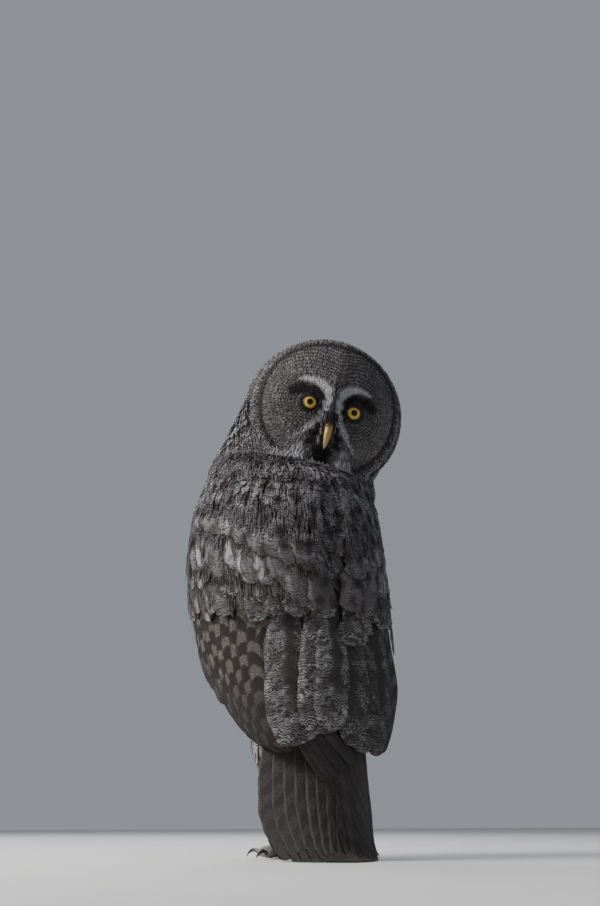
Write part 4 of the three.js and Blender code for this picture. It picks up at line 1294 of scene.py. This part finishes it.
def throat_paint():
    p = Plumage("throat_feathers", barbs=0.06)
    streaks = p.noise(p.vane, 0.5).rise(0.45, 0.65) * 0.35
    return p.feather(p.mix(streaks, (0.37, 0.36, 0.372), (0.12, 0.11, 0.11)))


face_feathers = face_paint()
nape_feathers = mantle_paint("nape_feathers", spots=0.35, size=(15.0, 20.0), period=3.1, cloud=0.3)


def disc_feathers():
    """Fine feathers of the disc, longer away from the eyes."""
    roots = scattered(skin_face > 0.3, 1.75)
    right, _, up = head_place(roots).T
    at_bill = (np.abs(right) < 5.5) & (up > -34) & (up < -8)
    roots = roots[(from_eye(right, up) > 11.6) & ~at_bill]
    right, _, up = head_place(roots).T
    for name, part in (("right", right >= 0), ("left", right < 0)):
        far = from_eye(right, up)[part]
        n = len(far)
        away = step_up(far, 11.5, 24)
        length = mix(4.5, 9.5, step_up(far, 12, 45)) * sized(n, 1.0)
        coat = Coat()
        tufts(coat, roots[part], length, sized(n, 1.6, 0.25), 0.6, unwrap=unwrapped_head, spread=10,
              rise=mix(2.7, 1.05, away), base=mix(1.5, 0, away)[:, None], uneven=0.15)
        coat.piece(f"face_{name}_feathers", face_feathers, "head_feathers", marks=face_marks)


def bill_bristles():
    """Fine bristles from beside the bill, bending down and forward over its base."""
    n = BRISTLES
    beside = rng.choice([-1.0, 1.0], n)
    right, up = beside * rng.uniform(0.0, 10.5, n), rng.uniform(-17, 3, n)
    low = rng.uniform(0, 1, n) < 0.35
    right = np.where(low, beside * rng.uniform(4.5, 10, n), right)
    up = np.where(low, rng.uniform(-36, -15, n), up)
    length = sized(n, 1, 0.25) * np.where(low, 12, 17.5)
    t = HAIR[None, :, None]
    heading = unit(stack(-0.02 * right + rng.normal(0, 0.13, n), 1.0 + rng.normal(0, 0.1, n), -0.55))
    bend = heading[:, None] * t + np.array([0, -0.14, -0.36]) * t ** 2
    root = stack(right, face_forward(right, up) - 3.0, up)
    centre = HEAD_CENTRE + (root[:, None] + bend * length[:, None, None]) @ HEAD_AXES
    along = along_paths(centre)
    out = unit(np.cross(unit(np.cross(along, head_forward + head_up)), along))
    width = sized(n, 0.8, 0.25)
    pale = (np.abs(right) > 6.5) & (rng.uniform(0, 1, n) < 0.25)
    coat = Coat()
    coat.add(centre, out, width, HAIR_PROFILE, HAIR, THREE, 0.5, unwrapped_head(centre[:, 0]), length,
             kind=pale.astype(float))
    coat.piece("bill_bristles", bristle_paint(), "head_feathers")


def lid_feathers():
    """Short feathers from just outside the lids' edges out over the face."""
    coat = Coat()
    n = LID_FEATHERS_A_ROW
    for centre in eye_centres.values():
        for row in np.arange(5) * 0.9 + 1.3:
            around = (np.arange(n) + rng.uniform(-0.5, 0.5, n)) / n * 2 * np.pi
            start = lid_opening(around) + row + rng.uniform(-0.3, 0.3, n)
            length = sized(n, 5.0, 0.25)
            reach = start[:, None] + length[:, None] * HAIR
            base = np.sqrt(np.maximum(14.1 ** 2 - start ** 2, 1))[:, None]
            forward = mix(base, np.maximum(base - 2.6, 8.6), HAIR) + 0.7 * np.sin(np.pi * HAIR)
            swing = around[:, None] + rng.normal(0, 0.1, (n, 1)) * HAIR
            path = centre + stack(reach * np.sin(swing), forward, reach * np.cos(swing)) @ HEAD_AXES
            along = along_paths(path)
            out = unit(np.cross(unit(np.cross(along, head_forward)), along))
            coat.add(path, out, sized(n, 1.25, 0.2), HAIR_PROFILE, HAIR, THREE, 0.45,
                     unwrapped_head(path[:, 0]), length)
    coat.piece("lid_feathers", face_feathers, "head_feathers", marks=face_marks)


def ruff_feathers():
    """Rows of dark feathers round the edge of the disc."""
    coat = Coat()
    for share, count, size in RUFF_ROWS:
        around = (np.arange(count) + rng.uniform(-0.35, 0.35, count)) / count * 2 * np.pi
        degrees = np.abs((np.degrees(around) + 180) % 360 - 180)
        radius = (ruff_reach(degrees) + share) * DISC_RADIUS * disc_reach(degrees)
        right, up = radius * np.sin(around), radius * np.cos(around)
        roots, _, _, part = nearest(on_head(right, face_forward(right, up), up))
        heading = unit(stack(right, -15, up)) @ HEAD_AXES
        bare = part == HEAD_PART
        head_tufts(coat, roots[bare], (size, 0.25), (2.4, 0.25), 0.7, profile=BODY_PROFILE, stations=FINE,
                   spread=12, rise=1.1, steps=4, heading=heading[bare], uneven=0.15)
    coat.piece("ruff_feathers", ruff_paint(), "head_feathers")


def crown_feathers():
    """The crown and the sides and back of the head, with fine strands over them."""
    crown = (skin_part == HEAD_PART) & (skin_face < 0.5)
    coat = Coat()
    roots = scattered(crown, 3.9)
    n = len(roots)
    draped = step_up(-head_place(roots)[:, 1], 5, 45)
    tufts(coat, roots, mix(15, 24, draped) * sized(n, 1, 0.2), mix(5.5, 7.5, draped) * sized(n, 1, 0.2), 0.9,
          BODY_PROFILE, FINE, unwrap=unwrapped_head, spread=11, steps=4, power=0.45,
          kind=rng.uniform(0, 1, n))
    coat.piece("crown_feathers", nape_feathers, "head_feathers")
    coat = Coat()
    head_tufts(coat, scattered(crown, 2.9), (11, 0.3), (1.4, 0.25), 0.5, base=0.7, rise=1.08)
    coat.piece("crown_wisps", nape_feathers, "head_feathers")


def nape_fluff():
    """Soft feathers that fill the crease between the head and the neck."""
    coat = Coat()
    head_tufts(coat, scattered((hollow > 0.25) & (skin_part != HEAD_PART) & (skin_points[:, 2] > 490), 3.3),
               (15, 0.2), (4.6, 0.2), 0.8, profile=BODY_PROFILE, base=0.1, rise=0.9, power=0.45)
    head_tufts(coat, scattered((hollow > 0.35) & (skin_face < 0.05), 2.9), (13, 0.25), (1.9, 0.25), 0.5,
               profile=BODY_PROFILE, base=0.7, rise=1.15)
    coat.piece("nape_fluff", nape_feathers, "head_feathers")


def throat_feathers():
    """The pale tufts on both sides of the throat, over the edge of the neck."""
    roots = scattered(skin_face > 0.3, 2.1)
    right, _, up = head_place(roots).T
    pale = (np.abs(np.abs(right) - 29) < 9) & (np.abs(up + 63) < 12)
    coat = Coat()
    head_tufts(coat, roots[pale], (25, 0.25), (1.9, 0.25), 0.6, profile=BODY_PROFILE, stations=FINE,
               spread=11, steps=6, base=1.0, rise=3.2, uneven=0.12,
               heading=unit(stack(0.2 * np.sign(right[pale]), 0, -1)) @ HEAD_AXES)
    coat.piece("throat_feathers", throat_paint(), "head_feathers")


for make in (disc_feathers, bill_bristles, lid_feathers, ruff_feathers, crown_feathers, nape_fluff,
             throat_feathers):
    make()

# Body feathers
trunk_like = (skin_part == TRUNK_PART) | (skin_part == NECK_PART)
bare_of_wings = wing_share(skin_points) <= 0.6
high = skin_points[:, 2] + rng.normal(0, 5, len(skin_points))
behind = skin_points[:, 1] > rng.normal(0, 11, len(skin_points))
in_hollow = (hollow > 0.3) & (high > 500)
neck_length = through((430, 48), (470, 40), (510, 26), (580, 20))
neck_width = through((430, 18), (470, 15), (510, 9), (580, 7.5))
body_length = through((100, 36), (200, 48), (300, 50), (470, 44))
body_width = through((100, 15), (300, 19), (470, 16))
breast_feathers = streaked_paint("breast_feathers", *BREAST_COLOURS)
belly_feathers = streaked_paint("belly_feathers", *BELLY_COLOURS)
flank_paint = streaked_paint("flank_feathers", (0.34, 0.325, 0.315), (0.13, 0.118, 0.112), (16.0, 50.0), 0.35)


def body_coat(name, weight, spacing, length, width, material):
    coat = Coat()
    roots = scattered(weight, spacing)
    roots = roots[np.argsort(-roots[:, 2])]
    n = len(roots)
    z = roots[:, 2]
    over = over_wings(roots)
    tufts(coat, roots, length(z) * sized(n, 1), width(z) * sized(n, 1), 0.8, BODY_PROFILE, FULL, FIVE,
          steps=6, slant=0.25, camber=0.004, ragged=0.2, power=mix(0.38, 0.8, over), rise=1 + 0.9 * over,
          kind=rng.uniform(0, 1, n))
    coat.piece(name, material, "body_feathers")


def wisps(name, weight, spacing, length, material, low=0.75, top=1.07):
    """Fine soft strands over the body feathers."""
    coat = Coat()
    roots = scattered(weight, spacing)
    n = len(roots)
    over = over_wings(roots - [0, 0, 10])
    tufts(coat, roots, sized(n, length, 0.3), sized(n, 1.35, 0.25), 0.4, spread=7, uneven=0.05,
          base=low + 0.5 * over[:, None], rise=top + 0.9 * over)
    coat.piece(name, material, "body_feathers")


def flank_feathers(n=220):
    """Loose pale feathers of the flanks that show past the outer edges of the wings."""
    side = rng.choice([-1.0, 1.0], n)
    angle = (side * rng.uniform(98, 116, n))[:, None]
    z = rng.uniform(215, 345, n)
    length = sized(n, 46, 0.25)
    down = z[:, None] - length[:, None] * FULL
    swept = angle - side[:, None] * rng.uniform(0, 7, (n, 1)) * FULL
    loose = (rng.uniform(0, 1, (n, 1)) < 0.4) & (np.abs(angle) > 102)
    rise = np.where(loose, rng.uniform(14, 21, (n, 1)), rng.uniform(9, 13.5, (n, 1)))
    centre = lifted_point(TRUNK, swept, down, rise * FULL ** 0.8 - 5)
    width = sized(n, 1, 0.2) * np.where(loose[:, 0], 2.6, 7)
    coat = Coat()
    coat.add(centre, oval_normal(TRUNK, swept, down), width, BODY_PROFILE, FULL, FIVE, 0.6,
             unwrapped(centre[:, 0]), length, slant=0.3, camber=0.004, ragged=0.3)
    coat.piece("flank_feathers", flank_paint, "body_feathers")


neck = trunk_like & bare_of_wings & (high > 500)
mantle = trunk_like & (bare_of_wings | (high > 425)) & (high > 290) & (high <= 500) & behind
breast = trunk_like & bare_of_wings & ~behind & (high > 300) & (high <= 500)
belly = trunk_like & bare_of_wings & ~behind & (high <= 300)
rump = trunk_like & bare_of_wings & behind & (high <= 300)
body_coat("neck_feathers", neck & ~in_hollow, 6.4, neck_length, neck_width, nape_feathers)
wisps("neck_wisps", neck, 2.5, 14, nape_feathers)
body_coat("mantle_feathers", mantle, 6.9, neck_length, neck_width, mantle_feathers)
wisps("mantle_wisps", mantle, 2.8, 12, mantle_feathers, 0.72, 0.98)
body_coat("breast_feathers", breast, 8.6, body_length, body_width, breast_feathers)
wisps("breast_wisps", breast, 3.35, 18, breast_feathers)
body_coat("belly_feathers", belly, 8.6, body_length, body_width, belly_feathers)
wisps("belly_wisps", belly, 3.35, 18, belly_feathers)
flank_feathers()
body_coat("rump_feathers", rump, 9, body_length, body_width, belly_feathers)
wisps("rump_wisps", rump, 3.0, 18, belly_feathers)
body_coat("vent_feathers", skin_part == VENT_PART, 8.0, run(48), run(14), belly_feathers)


def leg_paint():
    p = Plumage("leg_feathers", 0.9, 0.05, 0.06)
    lines = (p.y + p.wander(p.vane, 0.2, 4.0) + p.seed * (4.2 * 0.37)).wave(4.2).rise(-0.2, 0.6)
    lines = lines * p.noise(p.vane, 0.3).rise(0.4, 0.6)
    return p.feather(p.mix(lines * 0.4, (0.34, 0.318, 0.298), (0.12, 0.105, 0.098)))


leg_feathers = leg_paint()
coat = Coat()
roots = scattered(skin_part == LEG_PART, 2.8)
size = through((20, 8), (60, 13), (150, 20))(roots[:, 2])
tufts(coat, roots, size * sized(len(roots), 1, 0.25), size * 0.17 * sized(len(roots), 1), 0.6, BODY_PROFILE,
      spread=8, base=0.3, power=0.6)
coat.piece("leg_feathers", leg_feathers, "leg_feathers")
coat = Coat()
roots = scattered(skin_part == FOOT_PART, 2.2)
roots = roots[roots[:, 2] > 2.0]
tufts(coat, roots, sized(len(roots), 7.5, 0.25), sized(len(roots), 1.6), 0.5, spread=16, rise=1.5, uneven=0.2)
coat.piece("foot_feathers", leg_feathers, "leg_feathers")


# Eyes, lids, bill and claws
def eye_paint():
    p = Paint("eye", 0.7, 0.0, 0.45, 0.1)
    p.shader.inputs["Coat Roughness"].default_value = 0.02
    right, _, up = p.axes("Form")
    far = p.math("SQRT", right * right + up * up)
    streaks = p.noise(p.join(p.math("ARCTAN2", right, up) * 5.0, far * 0.25), 2.2, 3.0)
    yellow = p.mix(streaks, (0.44, 0.30, 0.02), (0.70, 0.55, 0.08))
    yellow = p.mix(far.rise(5.2, 4.0), yellow, (0.36, 0.21, 0.015))
    rim = p.mix(far.rise(7.9, 8.9), yellow, (0.012, 0.010, 0.009))
    return p.finish(p.mix(far.rise(4.15, 3.9), rim, (0.003, 0.003, 0.003)))


def lid_paint():
    p = Paint("eyelid", 0.55, 0.1)
    grain = p.noise(p.vector("Head"), 1.2, 3.0)
    p.bump(grain, 0.4, 0.0006)
    dark = p.mix(grain, (0.012, 0.010, 0.010), (0.04, 0.03, 0.027))
    return p.finish(p.mix(p.axes("Form")[0].rise(0.28, 0.1), dark, (0.16, 0.075, 0.04)))


def bill_paint():
    p = Paint("bill", 0.38, 0.0, 0.25, 0.45)
    t = p.axes("Form")[1]
    grain = p.noise(p.vector("Head"), 0.35, 3.0, stretch=(1.0, 1.0, 0.3))
    colour = p.mix(grain, (0.24, 0.15, 0.03), (0.36, 0.24, 0.06))
    # Painted shade: the bill darkens towards its base, under the bristles and the feathers of the face.
    colour = p.mix(t.rise(0.45, 0.1), colour, (0.07, 0.055, 0.035))
    p.bump(grain, 0.15, 0.0006)
    return p.finish(p.mix(t.rise(0.75, 1.0), colour, (0.46, 0.37, 0.20)))


def claw_paint():
    p = Paint("claw", 0.32, 0.0, 0.2, 0.5)
    form = p.vector("Form")
    grain = p.noise(form, 6.0, 3.0, stretch=(2.0, 0.4, 2.0))
    colour = p.mix(grain, (0.010, 0.009, 0.009), (0.045, 0.040, 0.037))
    return p.finish(p.mix(p.split(form)[1].rise(0.3, 0.0), colour, (0.10, 0.085, 0.075)))


def eyeball():
    def at(v, u):
        ball = EYE_RADIUS * ball_point(v, u)
        right, forward, up = ball[..., 0], ball[..., 1], ball[..., 2]
        cornea = 1.1 * bump(np.hypot(right, up), 7.5) * (forward > 0)
        return stack(right, forward + cornea, up)
    return closed_rings(at, 56, 72)


def eyelid():
    """Lids as a thin shell on the ball, open least at the top; also each point's share of the way out."""
    around, step = np.meshgrid(np.arange(72) / 72 * 2 * np.pi, np.arange(16), indexing="ij")
    opening = np.arcsin(lid_opening(around) / LID_RADIUS)
    outside = step < 11
    share = np.where(outside, step / 10, (16 - step) / 6)
    turn = mix(opening, math.radians(64), share)
    past = np.degrees(turn - opening)
    radius = np.where(outside, 13.9 + 0.7 * bump(past, 7) + 0.12 * np.sin(past / 2.4), 13.0)
    local = stack(radius * np.sin(turn) * np.sin(around), radius * np.cos(turn),
                  radius * np.sin(turn) * np.cos(around)).reshape(-1, 3)
    this = np.arange(16)
    close = np.stack([71 * 16 + this, 71 * 16 + (this + 1) % 16, (this + 1) % 16, this], -1)
    return local, [grid_faces(72, 16, True), close], stack(share.ravel(), 0, 0)


eye_material, lid_material = eye_paint(), lid_paint()
for name, centre in eye_centres.items():
    local, faces = eyeball()
    ball = make_object(f"eyeball_{name}", centre + local @ HEAD_AXES, outward(local, faces), {"Form": local})
    dressed(ball, eye_material)
    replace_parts(ball, f"eye_{name}")
    local, faces, form = eyelid()
    points = centre + local @ HEAD_AXES
    lid = make_object(f"eyelid_{name}", points, outward(points - centre, faces),
                      {"Head": head_place(points), "Form": form})
    dressed(lid, lid_material)


def horn(name, node, material, place, rings, spine, half_width, half_depth, groove=None):
    """Curved horn along a spine in a local frame, with each point's (side, along, 0) as its form."""
    curve = catmull(spine)
    form = []

    def at(v, u):
        around = 2 * np.pi * u
        out = unit(np.cross(tangent(curve, v), [1.0, 0, 0]))
        local = curve(v) + stack(half_width(v) * np.sin(around), 0, 0) + out * (
            half_depth(v) * np.cos(around))[..., None]
        local = groove(local) if groove else local
        form.append(stack(np.sin(around), v, np.cos(around)))
        return place(local[..., 0], local[..., 1], local[..., 2])
    points, faces = closed_rings(at, *rings)
    made = make_object(name, points, outward(points - points.mean(0), faces),
                       {"Form": np.vstack([form[1], form[0]]), "Head": head_place(points)})
    dressed(made, material)
    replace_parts(made, node)


def nostrils(local):
    """Presses a nostril into each side of the cere."""
    place = np.where([True, True, False], np.abs(local), local)
    press = 1.6 * bump(np.linalg.norm(place - [5.6, 71.0, -12.0], axis=-1), 1.9)
    return local - stack(np.sign(local[..., 0]) * press, press * 0.4, 0)


bill_material = bill_paint()
horn("upper_bill", "bill_upper", bill_material, on_head, (64, 48),
     [(0, 50, -4), (0, 68, -12), (0, 77, -26), (0, 79, -40), (0, 76, -50)],
     through((0, 2), (0.12, 5.8), (0.4, 5.7), (0.75, 3.6), (1, 0.2)),
     through((0, 2), (0.12, 7.5), (0.4, 7), (0.75, 4.2), (1, 0.2)), nostrils)
horn("lower_bill", "bill_lower", bill_material, on_head, (36, 32),
     [(0, 48, -18), (0, 61, -23), (0, 69, -31), (0, 72, -39)],
     through((0, 2), (0.2, 5.4), (0.6, 4.6), (1, 0.3)), through((0, 1), (0.2, 3.2), (0.6, 2.6), (1, 0.3)))
claw_material = claw_paint()
claw_width = through((0, 1.2), (0.12, 2.6), (0.5, 2), (1, 0.15))
for wing, side in (("left", 1), ("right", -1)):
    for number, (heading, reach, _) in enumerate(TOES, 1):
        way, start, across = toe_axes(side, heading)
        spine = [(0, reach - 6 + TALON_LENGTH * share, z) for share, z in ((0, 6.2), (0.45, 9.2), (0.85, 6.6),
                                                                          (1.1, 0.9))]
        horn(f"claw_{wing}_{number}", f"talon_{wing}_{number}", claw_material,
             lambda x, y, z: start * [1, 1, 0] + x[..., None] * across + y[..., None] * way + stack(0, 0, z),
             (30, 20), spine, claw_width, claw_width)

# Camera, floor and light
CAMERA_PLACE = np.array([635.6, 1247.4, 43.0])
VIEW_ANGLE, VIEW_YAW, VIEW_PITCH = np.radians([27.0, 0.579, 18.55])
LENS = 43.45
OWL_MIDDLE = np.array([0, 0, 340.0])


def aim(thing, place, look):
    """Places a camera or light, in millimetres, looking along a direction."""
    look = Vector(look).normalized()
    right = look.cross(Vector((0, 0, 1))).normalized()
    matrix = Matrix((right, right.cross(look), -look)).transposed().to_4x4()
    matrix.translation = Vector((np.asarray(place, float) + SHIFT) * MM)
    thing.matrix_world = matrix


def linked(name, data):
    thing = bpy.data.objects.new(name, data)
    bpy.context.scene.collection.objects.link(thing)
    return thing


ahead = np.array([-math.sin(VIEW_ANGLE), -math.cos(VIEW_ANGLE), 0])
rightward = np.array([-math.cos(VIEW_ANGLE), math.sin(VIEW_ANGLE), 0])
look = (ahead * math.cos(VIEW_YAW) + rightward * math.sin(VIEW_YAW)) * math.cos(VIEW_PITCH)
camera_data = bpy.data.cameras.new("photo_camera")
camera_data.lens = LENS
camera_data.sensor_width = 36
camera = linked("photo_camera", camera_data)
aim(camera, CAMERA_PLACE, look + np.array([0, 0, math.sin(VIEW_PITCH)]))
bpy.context.scene.camera = camera

bpy.ops.mesh.primitive_plane_add(size=8)
floor = bpy.context.object
floor.name = "floor"
p = Paint("pale_floor", 0.9)
grain = p.noise(p.node("NewGeometry", {}, "Position"), 6.0)
floor.data.materials.append(p.finish(p.mix(grain, (0.62, 0.61, 0.60), (0.68, 0.67, 0.66))))

left_of_view, up = -rightward, np.array([0, 0, 1.0])
for name, direction, distance, size, power, colour in (
        ("key_light", left_of_view - ahead * 0.3 + up * 0.8, 1900, 1.0, 58, (1.0, 0.985, 0.96)),
        ("fill_light", left_of_view * -0.9 - ahead * 0.6 + up * 0.4, 2200, 1.6, 3, (0.9, 0.95, 1.0)),
        ("back_light", ahead + left_of_view * 0.4 + up * 1.1, 2000, 1.4, 26, (0.95, 0.97, 1.0))):
    data = bpy.data.lights.new(name, "AREA")
    data.size, data.energy, data.color = size, power, colour
    aim(linked(name, data), OWL_MIDDLE + unit(direction) * distance, -unit(direction))

world = bpy.data.worlds.new("studio_air")
bpy.context.scene.world = world
world.use_nodes = True
air = world.node_tree.nodes["Background"]
air.inputs["Color"].default_value = (0.76, 0.82, 0.90, 1)
air.inputs["Strength"].default_value = 0.37
